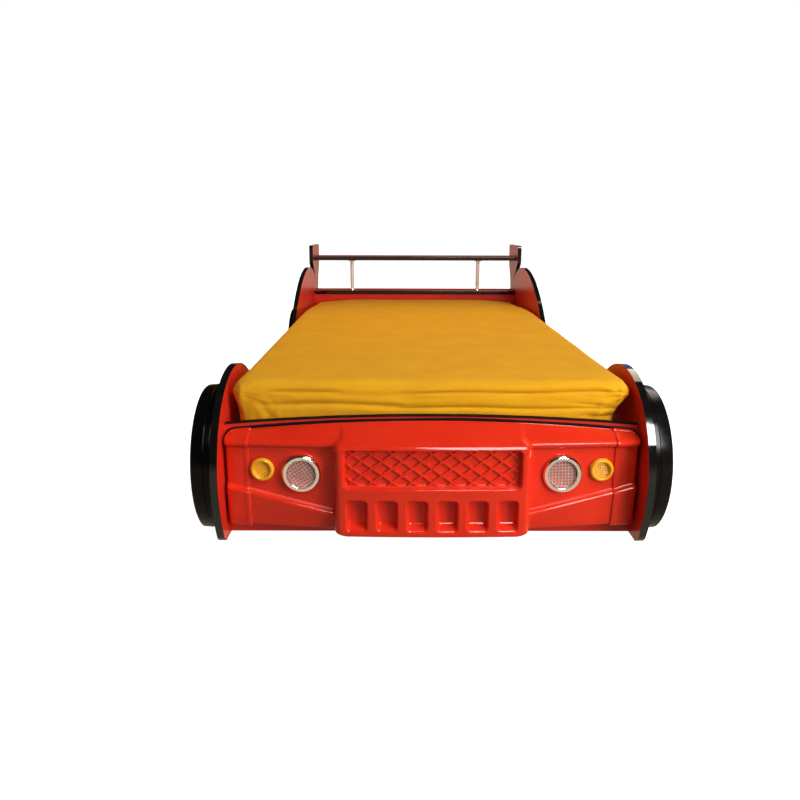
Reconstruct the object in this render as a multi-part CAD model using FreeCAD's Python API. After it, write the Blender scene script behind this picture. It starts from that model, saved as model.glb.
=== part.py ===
import FreeCAD, Part
import math
import os

# Toddler bed shaped like a racing car, as a kit of boards, mouldings and fasteners, in millimetres.
# Everything is drawn in stations: y = 0 at the front board's outer face, y growing towards the head.
# The finished parts are shifted so that the row's origin is the centre of the bed's footprint, on the floor.

V = FreeCAD.Vector

# ---- Driving dimensions -------------------------------------------------------------------------
MATTRESS_WIDTH = 700
MATTRESS_LENGTH = 1400
MATTRESS_HEIGHT = 120
SHEET_THICKNESS = 1
SHEET_HEM = 110               # how far the sheet turns in under the mattress
MATTRESS_FRONT = 14           # station of the mattress's foot end
DECK_TOP = 163                # top of the slats
MATTRESS_GAP = 0.4            # kept under the mattress, so that it rests without cutting in
MATTRESS_CORNER = 28          # radius of the upright corners
MATTRESS_EDGE = 12            # radius of the long edges

BOARD = 12                    # lacquered board
INNER_WIDTH = 730             # between the side panels
HALF = INNER_WIDTH / 2
OUTER = HALF + BOARD
EDGING_WIDTH = 13             # T-moulding, half a millimetre wider than the board each side
EDGING_PROUD = 1.5
EDGING_ROUND = 1.0

PANEL_BOTTOM = 4              # the side panels stand on glides of this height
GLIDE_RADIUS = 7
GLIDE_STATIONS = (30, 760, 1490)
NAIL_RADIUS = 1.2
NAIL_LENGTH = 14

FRONT_BOARD_BOTTOM = 8
FRONT_BOARD_END_TOP = 210.5
FRONT_BOARD_RISE = 15         # how much higher the middle of the arched top is

HEADBOARD_FRONT = 1430
HEADBOARD_BOTTOM = 90
SHELF_FRONT = 1427.5
SHELF_DEPTH = 93
SHELF_BOTTOM = 286
WING_DEPTH = 114
WING_BOTTOM = 407

STRUT_X = 229
STRUT_STATION = 1452
STRUT_RADIUS = 6.5
FLANGE_RADIUS = 14
FLANGE_HEIGHT = 4
FLANGE_ROUND = 2

# Side panel outline, (station, z). Each round stretch is a chain of tangent arcs, (radius, degrees turned),
# clockwise positive, drawn from a start place in a starting direction (0 is towards the head, 90 is up).
TOE = (-22, PANEL_BOTTOM)
FENDER = [(29.3, 65.8), (268, 18), (166.9, 62.3), (197.6, 63.4), (244.3, -29.5)]
HUMP_START = (850, 235)
HUMP = [(103.4, -38.9), (596.9, 36), (377.3, 36)]
FIN_FRONT_LOW = (1397, 400)
FIN_FRONT_TOP = (1400, 458)
FIN_REAR_TOP = (1600, 456)
TAIL = [(524, 6.4), (45.7, 39.9), (111, -49.3)]
TAIL_HEADING = -93
CORNER_ROUND = 6              # outline corners, as sharp as the T-moulding can follow
HEEL_ROUND = 18               # the lower rear corner

# Wheels, fixed to the panels. Their mouldings are flat underneath, just clear of the floor.
WHEEL_RADIUS = 140
WHEEL_CENTRE_Z = 115
WHEEL_FLAT_Z = 3
WHEEL_STATIONS = {"front": 110, "rear": 1260}
SPACER = 12
SPACER_RADIUS = 108
TYRE_WIDTH = 36
TYRE_ROUND = 7
TYRE_WALL = 5
RIM_RADIUS = 82
HUB_DEPTH = 9
HUB_GAP = 0.3                 # between the hub cap and the well it sits in
HUB_DISC = 4                  # thickness of the cap's disc
HUB_RING = 9                  # width of its raised rim
HUB_BOSS_RADIUS = 17
SPOKES = 5
SPOKE_WIDTH = 12
SPOKE_HEIGHT = 8
WHEEL_BOLT_CIRCLE = 60
WHEEL_BOLTS = 3
BOLT_RADIUS = 3
BOLT_HEAD_RADIUS = 6
BOLT_HEAD = 3.5
BOLT_GRIP = 12                # length of bolt inside the tyre's floor boss
BOSS_RADIUS = 9

# Bumper. Protrusions are how far each feature stands out in front of the front board.
BUMPER_HALF = 356
BUMPER_WALL = 3
HOOD_TOP = 218.5
HOOD_DROP = 18.5              # how much lower the hood's top edge is at the ends
LIP_Z = 188
LIP_UNDER_Z = 183
PANEL_TOP_Z = 177
LIP_OUT = 50
LIP_BOW = 17                  # the lip's protrusion lost at the ends
PANEL_IN = 10.5               # lamp panel behind the lip
CREST_IN = 1.5
APRON_IN = 9
CREST_LOW_Z = 59              # diagonal crest beside the grille frame
CREST_END_Z = 105
CREST_SLOPE = 6               # height of the slope above the crest
APRON_Z = 27
APRON_RISE = 8                # the bottom edge rises this much towards the ends
CAP_START = 318
CAP_PROUD = 2.5
CAP_GAP = 0.2
CAP_END = 360
FRAME_HALF = 170
FRAME_OUT = 66
FRAME_BOW = 4
FRAME_BOTTOM = 24
FRAME_TOP_Z = 192
FRAME_BACK = 38
FRAME_ROUND = 14
MESH_HALF = 153
MESH_Z = (113, 183)
MESH_DEPTH = 13
MESH_ROUND = 9
MESH_RIB = 2.4
MESH_RIB_HEIGHT = 4
MESH_PITCH = 34.4             # between ribs, measured level
MESH_ANGLE = 36
MESH_RIBS = 6                 # each way from the middle one
POCKET_WIDTH = 35
POCKET_Z = (33, 91)
POCKET_PITCH = 52.2
POCKETS = 6
POCKET_DEPTH = 16
POCKET_ROUND = 6
TRIM_PROUD = 4                # black gasket between bumper and front board, seen as a line round the bumper
TRIM_UNDER = 8
TRIM_DEPTH = 2
TRIM_CORNER = 14
BUMPER_SCREWS = [(-300, 26), (-100, 39), (100, 39), (300, 26)]   # x, and how far the boss reaches forward
BUMPER_SCREW_Z = 104
BUMPER_BOSS_RADIUS = 8

# Lamps: distance from the middle, height, and the radii of bezel, body and lens.
HEADLAMP_X = 227
HEADLAMP_Z = 132
HEADLAMP_RADIUS = 34
HEADLAMP_LENS = 25
HEADLAMP_RIM = 7              # thickness of the bezel's ring, and the round of its front edge
HEADLAMP_ROUND = 4
HEADLAMP_SINK = 2.5           # how far a lamp's ring is let into the curved lamp panel
HEADLAMP_TUBE = 14            # depth of the tube and the bowl behind the ring
HEADLAMP_TUBE_WALL = 2.5
HEADLAMP_HOLE = 28            # radius of the bumper's hole
LENS_START = 1                # from the back of the ring to the back of the lens
LENS_THICKNESS = 3.5
BOWL_DEPTH = 12
BOWL_BOTTOM_RADIUS = 5
BOWL_WALL = 2
INDICATOR_X = 296
INDICATOR_Z = 138
INDICATOR_RADIUS = 21
INDICATOR_LENS = 14
INDICATOR_RIM = 6
INDICATOR_ROUND = 3
INDICATOR_SINK = 2
INDICATOR_PLUG = (15.5, 12)   # radius and length of the plug through the bumper's hole
INDICATOR_HOLE = 16
INDICATOR_LENS_THICKNESS = 2.5

# Deck.
LEDGER = 25                   # square section of the ledger rails
LEDGER_STATIONS = (30, 1412)
SLAT_WIDTH = 68
SLAT_THICKNESS = 12
SLATS = 12
SLAT_END_GAP = 1
SLAT_MARGIN = 4               # from a ledger's end to the first slat
SLAT_ROUND = 3
RAIL_ROUND = 2
WEBBING_MARGIN = 8
WEBBING_WIDTH = 25
WEBBING_THICKNESS = 1.2
WEBBING_X = 250
CROSS_RAIL_STATION = 720
CROSS_RAIL = (20, 44)

# Screws through the side panels into the boards' ends.
CONFIRMAT_RADIUS = 2.5
CONFIRMAT_LENGTH = 48
CONFIRMAT_HEAD_RADIUS = 5
CONFIRMAT_HEAD = 3
CAP_THICKNESS = 1.2
CAP_RADIUS = 6.5
CONFIRMATS = [(6, 40), (6, 192), (1436, 130), (1436, 240), (1458, 292), (1500, 292),
              (1455, 413), (1515, 413), (CROSS_RAIL_STATION, 128)]
LEDGER_SCREW_STATIONS = (80, 400, 660, 1000, 1370)
LEDGER_SCREW_REACH = 32
LEDGER_SCREW_RADIUS = 1.8
LEDGER_SCREW_HEAD = 3.6
LEDGER_SCREW_SINK = 2.4


# ---- Small tools --------------------------------------------------------------------------------
def box(x, y, z):
    """A box between the two values given for each axis."""
    return Part.makeBox(x[1] - x[0], y[1] - y[0], z[1] - z[0], V(x[0], y[0], z[0]))


def rod(start, direction, length, radius):
    return Part.makeCylinder(radius, length, start, direction)


def mirrored(shape):
    return shape.mirror(V(0, 0, 0), V(1, 0, 0))


def tangent_arcs(start, heading, turns, x):
    """Edges of arcs that run on from each other in the plane at x, and the place where they end."""
    y, z = start
    angle = math.radians(heading)
    edges = []
    for radius, turned in turns:
        sweep = math.radians(turned)
        side = math.copysign(radius, turned)
        centre_y, centre_z = y + side * math.sin(angle), z - side * math.cos(angle)
        places = []
        for turn in (angle, angle - sweep / 2, angle - sweep):
            places.append(V(x, centre_y - side * math.sin(turn), centre_z + side * math.cos(turn)))
        edges.append(Part.Arc(*places).toShape())
        y, z = places[2].y, places[2].z
        angle -= sweep
    return edges, (y, z)


def fuse_all(shapes):
    whole = shapes[0].multiFuse(shapes[1:])
    return whole.removeSplitter()


def group(shapes):
    """Separate solids kept in one node."""
    return Part.makeCompound(shapes)


def edges_at(solid, axis, places, tolerance=0.5):
    """Edges parallel to an axis that pass through one of the (a, b) places across it."""
    across = {"x": lambda p: (p.y, p.z), "y": lambda p: (p.x, p.z), "z": lambda p: (p.x, p.y)}[axis]
    found = []
    for edge in solid.Edges:
        ends = [across(vertex.Point) for vertex in edge.Vertexes]
        if len(ends) != 2 or math.dist(*ends) > tolerance:
            continue
        if any(math.dist(ends[0], place) < tolerance for place in places):
            found.append(edge)
    return found


def rounded_box(x, y, z, radius, axis):
    """A box whose four edges along one axis are rounded."""
    solid = box(x, y, z)
    spans = {"x": (y, z), "y": (x, z), "z": (x, y)}[axis]
    corners = [(a, b) for a in spans[0] for b in spans[1]]
    return solid.makeFillet(radius, edges_at(solid, axis, corners))


# ---- Side panels --------------------------------------------------------------------------------
def side_panel_blank():
    """The right-hand panel, without its screw holes."""
    fender, sill_front = tangent_arcs(TOE, 180, FENDER, HALF)
    hump, notch = tangent_arcs(HUMP_START, 0, HUMP, HALF)
    tail, tail_end = tangent_arcs(FIN_REAR_TOP, TAIL_HEADING, TAIL, HALF)
    heel = (tail_end[0], PANEL_BOTTOM)
    corners = [(sill_front, HUMP_START), (notch, FIN_FRONT_LOW), (FIN_FRONT_LOW, FIN_FRONT_TOP),
               (FIN_FRONT_TOP, FIN_REAR_TOP), (tail_end, heel), (heel, TOE)]
    lines = [Part.makeLine(V(HALF, *a), V(HALF, *b)) for a, b in corners]
    wire = Part.Wire(Part.__sortEdges__(fender + hump + tail + lines))
    panel = Part.Face(wire).extrude(V(BOARD, 0, 0))
    panel = panel.makeFillet(CORNER_ROUND, edges_at(panel, "x", [FIN_FRONT_LOW, FIN_FRONT_TOP, FIN_REAR_TOP]))
    return panel.makeFillet(HEEL_ROUND, edges_at(panel, "x", [heel]))


def side_edging(panel):
    """T-moulding round the panel's edge, open along the floor."""
    inner = [face for face in panel.Faces if abs(face.CenterOfMass.x - HALF) < 0.01][0]
    outline = Part.Face(inner.OuterWire)
    grown = Part.Face(inner.OuterWire.makeOffset2D(EDGING_PROUD))
    overhang = (EDGING_WIDTH - BOARD) / 2
    strip = grown.cut(outline).extrude(V(EDGING_WIDTH, 0, 0))
    strip.translate(V(-overhang, 0, 0))
    rims = []
    for face in strip.Faces:
        if abs(face.normalAt(0, 0).x) > 0.99:
            rims += max(face.Wires, key=lambda wire: wire.Length).Edges
    strip = strip.makeFillet(EDGING_ROUND, rims)
    span = strip.BoundBox
    underside = box((span.XMin, span.XMax), (span.YMin, span.YMax), (span.ZMin - 1, PANEL_BOTTOM))
    return strip.cut(underside)


def confirmat(station, z):
    """One screw, from the panel's outer face inwards, and the cap that covers its head."""
    place, inwards = V(OUTER, station, z), V(-1, 0, 0)
    head = Part.makeCone(CONFIRMAT_HEAD_RADIUS, CONFIRMAT_RADIUS, CONFIRMAT_HEAD, place, inwards)
    shank_start = place + inwards * CONFIRMAT_HEAD
    shank = rod(shank_start, inwards, CONFIRMAT_LENGTH - CONFIRMAT_HEAD, CONFIRMAT_RADIUS)
    cap = rod(place, -inwards, CAP_THICKNESS, CAP_RADIUS)
    return head.fuse(shank), cap


def glide(station):
    x = HALF + BOARD / 2
    foot = rod(V(x, station, 0), V(0, 0, 1), PANEL_BOTTOM, GLIDE_RADIUS)
    nail = rod(V(x, station, PANEL_BOTTOM), V(0, 0, 1), NAIL_LENGTH, NAIL_RADIUS)
    return foot.fuse(nail)


# ---- Boards across the bed ----------------------------------------------------------------------
def arched_face(half, y, bottom, end_top, rise):
    """An upright face across the bed with an arched top."""
    left, right = V(-half, y, end_top), V(half, y, end_top)
    arch = Part.Arc(left, V(0, y, end_top + rise), right).toShape()
    low_left, low_right = V(-half, y, bottom), V(half, y, bottom)
    rest = Part.makePolygon([right, low_right, low_left, left])
    return Part.Face(Part.Wire([arch] + rest.Edges))


def front_board():
    face = arched_face(HALF, 0, FRONT_BOARD_BOTTOM, FRONT_BOARD_END_TOP, FRONT_BOARD_RISE)
    return face.extrude(V(0, BOARD, 0))


def front_board_edging():
    overhang = (EDGING_WIDTH - BOARD) / 2
    strip_top = FRONT_BOARD_END_TOP + EDGING_PROUD
    strip = arched_face(HALF, -overhang, FRONT_BOARD_BOTTOM, strip_top, FRONT_BOARD_RISE)
    below = arched_face(HALF, -overhang, FRONT_BOARD_BOTTOM, FRONT_BOARD_END_TOP, FRONT_BOARD_RISE)
    return strip.cut(below).extrude(V(0, EDGING_WIDTH, 0))


def shelf_like(front, depth, bottom):
    """A level board between the panels, and the edging on its front edge."""
    board = box((-HALF, HALF), (front, front + depth), (bottom, bottom + BOARD))
    overhang = (EDGING_WIDTH - BOARD) / 2
    low, high = bottom - overhang, bottom + BOARD + overhang
    edging = box((-HALF, HALF), (front - EDGING_PROUD, front), (low, high))
    lip = [(front - EDGING_PROUD, low), (front - EDGING_PROUD, high)]
    return board, edging.makeFillet(EDGING_ROUND, edges_at(edging, "x", lip))


def strut(x):
    low = SHELF_BOTTOM + BOARD + FLANGE_HEIGHT
    high = WING_BOTTOM - FLANGE_HEIGHT
    return rod(V(x, STRUT_STATION, low), V(0, 0, 1), high - low, STRUT_RADIUS)


def flanges(x):
    """The two flanges that hold one strut, with rounded rims."""
    low = rod(V(x, STRUT_STATION, SHELF_BOTTOM + BOARD), V(0, 0, 1), FLANGE_HEIGHT, FLANGE_RADIUS)
    high = rod(V(x, STRUT_STATION, WING_BOTTOM), V(0, 0, -1), FLANGE_HEIGHT, FLANGE_RADIUS)
    rounded = []
    for disc, level in ((low, low.BoundBox.ZMax), (high, high.BoundBox.ZMin)):
        edge = [e for e in disc.Edges if e.Closed and abs(e.CenterOfMass.z - level) < 0.01]
        rounded.append(disc.makeFillet(FLANGE_ROUND, edge))
    return rounded


# ---- Deck ---------------------------------------------------------------------------------------
def ledger_rail():
    top = DECK_TOP - SLAT_THICKNESS
    return rounded_box((HALF - LEDGER, HALF), LEDGER_STATIONS, (top - LEDGER, top), RAIL_ROUND, "y")


def ledger_screw(station):
    z = DECK_TOP - SLAT_THICKNESS - LEDGER / 2
    start = V(HALF - LEDGER, station, z)
    shank = rod(start, V(1, 0, 0), LEDGER_SCREW_REACH, LEDGER_SCREW_RADIUS)
    head = Part.makeCone(LEDGER_SCREW_HEAD, LEDGER_SCREW_RADIUS, LEDGER_SCREW_SINK, start, V(1, 0, 0))
    return shank.fuse(head)


def slat(index):
    first = LEDGER_STATIONS[0] + SLAT_MARGIN
    last = LEDGER_STATIONS[1] - SLAT_MARGIN - SLAT_WIDTH
    y = first + (last - first) * index / (SLATS - 1)
    half = HALF - SLAT_END_GAP
    level = (DECK_TOP - SLAT_THICKNESS, DECK_TOP)
    return rounded_box((-half, half), (y, y + SLAT_WIDTH), level, SLAT_ROUND, "x")


def webbing(x):
    top = DECK_TOP - SLAT_THICKNESS
    ends = (LEDGER_STATIONS[0] + WEBBING_MARGIN, LEDGER_STATIONS[1] - WEBBING_MARGIN)
    return box((x - WEBBING_WIDTH / 2, x + WEBBING_WIDTH / 2), ends, (top - WEBBING_THICKNESS, top))


def cross_rail():
    width, height = CROSS_RAIL
    top = DECK_TOP - SLAT_THICKNESS - WEBBING_THICKNESS
    y = CROSS_RAIL_STATION
    rail = rounded_box((-HALF, HALF), (y - width / 2, y + width / 2), (top - height, top), RAIL_ROUND, "x")
    notch_top = top + 1
    notch_low = DECK_TOP - SLAT_THICKNESS - LEDGER
    for side in (-1, 1):
        x = sorted((side * (HALF - LEDGER), side * (HALF + 1)))
        rail = rail.cut(box(x, (y - width, y + width), (notch_low, notch_top)))
    return rail


# ---- Bumper -------------------------------------------------------------------------------------
def bow(x, amount):
    return amount * (x / BUMPER_HALF) ** 2


def bumper_section(x, grow, back):
    """The bumper's outline in the plane across the bed at x, grown outwards by grow, closed at back."""
    out = LIP_OUT - bow(x, LIP_BOW) + grow
    crest = CREST_LOW_Z + (CREST_END_Z - CREST_LOW_Z) * (x - FRAME_HALF) / (BUMPER_HALF - FRAME_HALF)
    top = HOOD_TOP - bow(x, HOOD_DROP) + grow
    bottom = APRON_Z + bow(x, APRON_RISE) - grow
    places = [(back, bottom), (-out + APRON_IN + 3, bottom), (-out + APRON_IN, bottom + 4),
              (-out + CREST_IN, crest - 3), (-out + CREST_IN, crest + 2),
              (-out + PANEL_IN, crest + CREST_SLOPE), (-out + PANEL_IN, PANEL_TOP_Z - grow),
              (-out + 1, LIP_UNDER_Z - grow), (-out, LIP_Z), (-out + 5, LIP_Z + 5 + grow),
              (-2, top), (back, top)]
    return Part.makePolygon([V(x, y, z) for y, z in places + places[:1]])


def bumper_half(grow, back, start, end, sections=4):
    """The right-hand half of the bumper's body as one solid."""
    places = [start + (end - start) * i / (sections - 1) for i in range(sections)]
    return Part.makeLoft([bumper_section(x, grow, back) for x in places], True, False)


def frame_block():
    """The raised grille frame in the middle, bowed like the rest of the bumper."""
    half, y = FRAME_HALF, -FRAME_OUT
    left, right = V(-half, y + FRAME_BOW, 0), V(half, y + FRAME_BOW, 0)
    front = Part.Arc(left, V(0, y, 0), right).toShape()
    back_left, back_right = V(-half, 0, 0), V(half, 0, 0)
    rest = Part.makePolygon([right, back_right, back_left, left])
    plan = Part.Face(Part.Wire([front] + rest.Edges))
    slab = plan.extrude(V(0, 0, HOOD_TOP + 20))
    profile = [(1, FRAME_BOTTOM), (-FRAME_OUT - 5, FRAME_BOTTOM), (-FRAME_OUT - 5, FRAME_TOP_Z - 8),
               (-FRAME_OUT, FRAME_TOP_Z - 5), (-FRAME_OUT + 6, FRAME_TOP_Z), (-2, HOOD_TOP), (1, HOOD_TOP)]
    side = Part.Face(Part.makePolygon([V(-half - 1, y, z) for y, z in profile + profile[:1]]))
    block = side.extrude(V(2 * half + 2, 0, 0)).common(slab)
    lower = [(-half, FRAME_BOTTOM), (half, FRAME_BOTTOM)]
    return block.makeFillet(FRAME_ROUND, edges_at(block, "y", lower))


def mesh_ribs():
    """Crossing ribs on the floor of the grille's recess."""
    low, high = MESH_Z
    middle = V(0, 0, (low + high) / 2)
    floor = -FRAME_OUT + MESH_DEPTH
    depth = (floor - MESH_RIB_HEIGHT, floor + 1)
    opening = box((-MESH_HALF - 1, MESH_HALF + 1), depth, (low - 1, high + 1))
    reach = 2 * MESH_HALF
    bars = []
    for tilt in (-MESH_ANGLE, MESH_ANGLE):
        for line in range(-MESH_RIBS, MESH_RIBS + 1):
            bar = box((-reach, reach), depth, (-MESH_RIB / 2, MESH_RIB / 2))
            bar.rotate(V(0, 0, 0), V(0, 1, 0), tilt)
            bar.translate(middle + V(line * MESH_PITCH, 0, 0))
            bars.append(bar.common(opening))
    return bars


def lamp_hole(x, z, radius):
    return rod(V(x, -LIP_OUT - 5, z), V(0, 1, 0), LIP_OUT, radius)


def gasket_room():
    """The layer against the front board that is left to the gasket."""
    return box((-HALF, HALF), (-TRIM_DEPTH, 10), (0, HOOD_TOP + 10))


def bumper_shell():
    """The red moulding: lipped body, grille frame, mesh recess, pockets, lamp holes and screw bosses."""
    outer_half = bumper_half(0, 0, FRAME_HALF - 10, BUMPER_HALF)
    inner_half = bumper_half(-BUMPER_WALL, 5, FRAME_HALF - 15, BUMPER_HALF - BUMPER_WALL)
    outer = fuse_all([frame_block(), outer_half, mirrored(outer_half)])
    behind = box((-FRAME_HALF + BUMPER_WALL, FRAME_HALF - BUMPER_WALL), (-FRAME_BACK, 5),
                 (FRAME_BOTTOM + BUMPER_WALL, FRAME_TOP_Z))
    shell = outer.cut(inner_half).cut(mirrored(inner_half)).cut(behind)
    mesh_depth = (-FRAME_OUT - 5, -FRAME_OUT + MESH_DEPTH)
    shell = shell.cut(rounded_box((-MESH_HALF, MESH_HALF), mesh_depth, MESH_Z, MESH_ROUND, "y"))
    for index in range(POCKETS):
        x = (index - (POCKETS - 1) / 2) * POCKET_PITCH
        span = (x - POCKET_WIDTH / 2, x + POCKET_WIDTH / 2)
        depth = (-FRAME_OUT - 5, -FRAME_OUT + POCKET_DEPTH)
        shell = shell.cut(rounded_box(span, depth, POCKET_Z, POCKET_ROUND, "y"))
    for side in (-1, 1):
        shell = shell.cut(lamp_hole(side * HEADLAMP_X, HEADLAMP_Z, HEADLAMP_HOLE))
        shell = shell.cut(lamp_hole(side * INDICATOR_X, INDICATOR_Z, INDICATOR_HOLE))
    bosses = []
    for x, reach in BUMPER_SCREWS:
        bosses.append(rod(V(x, -reach, BUMPER_SCREW_Z), V(0, 1, 0), reach, BUMPER_BOSS_RADIUS))
    shell = fuse_all([shell] + mesh_ribs() + bosses)
    return shell.cut(gasket_room())


def end_cap():
    """The right-hand end cap: a sleeve over the shell with a closed end."""
    outer = bumper_half(CAP_PROUD, 0, CAP_START, CAP_END, 3)
    inner = bumper_half(CAP_GAP, 5, CAP_START - 2, BUMPER_HALF + CAP_GAP, 3)
    return outer.cut(inner).cut(gasket_room())


def bumper_trim():
    """Black gasket behind the bumper's top edge and upper corners."""
    half = CAP_END
    end_top = HOOD_TOP - HOOD_DROP
    sheets = []
    for grow, corner in ((TRIM_PROUD, TRIM_CORNER), (-TRIM_UNDER, TRIM_CORNER - TRIM_UNDER)):
        face = arched_face(half + grow, -TRIM_DEPTH, LIP_Z - 10, end_top + grow, HOOD_DROP)
        sheet = face.extrude(V(0, TRIM_DEPTH, 0))
        upper = [(side * (half + grow), end_top + grow) for side in (-1, 1)]
        sheets.append(sheet.makeFillet(corner, edges_at(sheet, "y", upper)))
    return sheets[0].cut(sheets[1])


def bumper_screw(x):
    shank = rod(V(x, BOARD, BUMPER_SCREW_Z), V(0, -1, 0), BOARD + 18, CONFIRMAT_RADIUS)
    head = rod(V(x, BOARD, BUMPER_SCREW_Z), V(0, 1, 0), BOLT_HEAD, BOLT_HEAD_RADIUS)
    return shank.fuse(head)


# ---- Lamps --------------------------------------------------------------------------------------
def panel_out(x):
    return LIP_OUT - bow(x, LIP_BOW) - PANEL_IN


def rounded_ring(centre, thickness, radius, rounding):
    """A disc facing forwards whose front rim is rounded."""
    disc = rod(centre, V(0, -1, 0), thickness, radius)
    rim = [e for e in disc.Edges if e.Closed and abs(e.CenterOfMass.y - centre.y + thickness) < 0.01]
    return disc.makeFillet(rounding, rim)


def headlamp():
    """Bezel with a tube through the bumper's hole, a bowl behind it and the lens in front."""
    forwards = V(0, -1, 0)
    centre = V(HEADLAMP_X, -panel_out(HEADLAMP_X) - HEADLAMP_SINK, HEADLAMP_Z)
    ring = rounded_ring(centre, HEADLAMP_RIM, HEADLAMP_RADIUS, HEADLAMP_ROUND)
    tube = rod(centre, -forwards, HEADLAMP_TUBE, HEADLAMP_LENS + HEADLAMP_TUBE_WALL)
    bore = rod(centre + forwards * 10, -forwards, 40, HEADLAMP_LENS)
    lens = rod(centre + forwards * LENS_START, forwards, LENS_THICKNESS, HEADLAMP_LENS)
    bowl = rod(centre - forwards * HEADLAMP_TUBE, forwards, HEADLAMP_TUBE, HEADLAMP_LENS)
    hollow_start = centre - forwards * BOWL_DEPTH
    hollow = Part.makeCone(BOWL_BOTTOM_RADIUS, HEADLAMP_LENS - BOWL_WALL, BOWL_DEPTH, hollow_start, forwards)
    return ring.fuse(tube).cut(bore), lens, bowl.cut(hollow)


def indicator():
    """Housing with a plug through the bumper's hole, and the lens in its recess."""
    forwards = V(0, -1, 0)
    centre = V(INDICATOR_X, -panel_out(INDICATOR_X) - INDICATOR_SINK, INDICATOR_Z)
    ring = rounded_ring(centre, INDICATOR_RIM, INDICATOR_RADIUS, INDICATOR_ROUND)
    plug_radius, plug_length = INDICATOR_PLUG
    plug = rod(centre, -forwards, plug_length, plug_radius)
    recess = rod(centre + forwards * LENS_START, forwards, 10, INDICATOR_LENS)
    lens = rod(centre + forwards * LENS_START, forwards, INDICATOR_LENS_THICKNESS, INDICATOR_LENS)
    return ring.fuse(plug).cut(recess), lens


# ---- Wheels -------------------------------------------------------------------------------------
def wheel_bolt_places(station):
    places = []
    for index in range(WHEEL_BOLTS):
        angle = 2 * math.pi * index / WHEEL_BOLTS
        y = station + WHEEL_BOLT_CIRCLE * math.sin(angle)
        places.append((y, WHEEL_CENTRE_Z + WHEEL_BOLT_CIRCLE * math.cos(angle)))
    return places


def wheel_bolt(station, z):
    head = rod(V(HALF, station, z), V(-1, 0, 0), BOLT_HEAD, BOLT_HEAD_RADIUS)
    shank = rod(V(HALF, station, z), V(1, 0, 0), BOARD + SPACER + BOLT_GRIP, BOLT_RADIUS)
    return head.fuse(shank)


def wheel(station):
    """One wheel's spacer disc, tyre moulding and hub cap."""
    centre = V(OUTER, station, WHEEL_CENTRE_Z)
    axis = V(1, 0, 0)
    spacer = rod(centre, axis, SPACER, SPACER_RADIUS)
    inner = centre + axis * SPACER
    tyre = rod(inner, axis, TYRE_WIDTH, WHEEL_RADIUS)
    rims = [e for e in tyre.Edges if e.Closed and e.Curve.Radius > WHEEL_RADIUS - 1]
    tyre = tyre.makeFillet(TYRE_ROUND, rims)
    well = rod(inner + axis * TYRE_WALL, axis, TYRE_WIDTH, RIM_RADIUS)
    below = box((inner.x - 1, inner.x + TYRE_WIDTH + 1), (station - WHEEL_RADIUS, station + WHEEL_RADIUS),
                (WHEEL_CENTRE_Z - WHEEL_RADIUS - 1, WHEEL_FLAT_Z))
    tyre = tyre.cut(well).cut(below)
    bosses = [rod(V(inner.x + TYRE_WALL, y, z), axis, BOLT_GRIP, BOSS_RADIUS)
              for y, z in wheel_bolt_places(station)]
    tyre = fuse_all([tyre] + bosses)
    return spacer, tyre, hub_cap(inner + axis * (TYRE_WIDTH - HUB_DEPTH))


def hub_cap(centre):
    """A dished disc with raised spokes that closes the tyre's well."""
    axis = V(1, 0, 0)
    radius = RIM_RADIUS - HUB_GAP
    ring = rod(centre, axis, HUB_DEPTH, radius).cut(rod(centre, axis, HUB_DEPTH, radius - HUB_RING))
    shapes = [rod(centre, axis, HUB_DISC, radius), ring, rod(centre, axis, HUB_DEPTH, HUB_BOSS_RADIUS)]
    across = (centre.y - SPOKE_WIDTH / 2, centre.y + SPOKE_WIDTH / 2)
    for index in range(SPOKES):
        spoke = box((centre.x, centre.x + SPOKE_HEIGHT), across, (centre.z, centre.z + radius - HUB_RING / 2))
        spoke.rotate(centre, axis, 360 * index / SPOKES)
        shapes.append(spoke)
    return fuse_all(shapes)


# ---- Mattress -----------------------------------------------------------------------------------
def mattress_block(inset):
    low = DECK_TOP + MATTRESS_GAP
    half = MATTRESS_WIDTH / 2 - inset
    ends = (MATTRESS_FRONT + inset, MATTRESS_FRONT + MATTRESS_LENGTH - inset)
    levels = (low + inset, low + MATTRESS_HEIGHT - inset)
    block = rounded_box((-half, half), ends, levels, MATTRESS_CORNER - inset, "z")
    level = [e for e in block.Edges if e.BoundBox.ZLength < 0.01]
    return block.makeFillet(MATTRESS_EDGE - inset, level)


def fitted_sheet():
    """A skin over the mattress that turns in underneath and leaves the middle of the base open."""
    half = MATTRESS_WIDTH / 2 - SHEET_HEM
    ends = (MATTRESS_FRONT + SHEET_HEM, MATTRESS_FRONT + MATTRESS_LENGTH - SHEET_HEM)
    opening = box((-half, half), ends, (DECK_TOP - 5, DECK_TOP + MATTRESS_GAP + SHEET_THICKNESS))
    return mattress_block(0).cut(mattress_block(SHEET_THICKNESS)).cut(opening)


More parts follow.
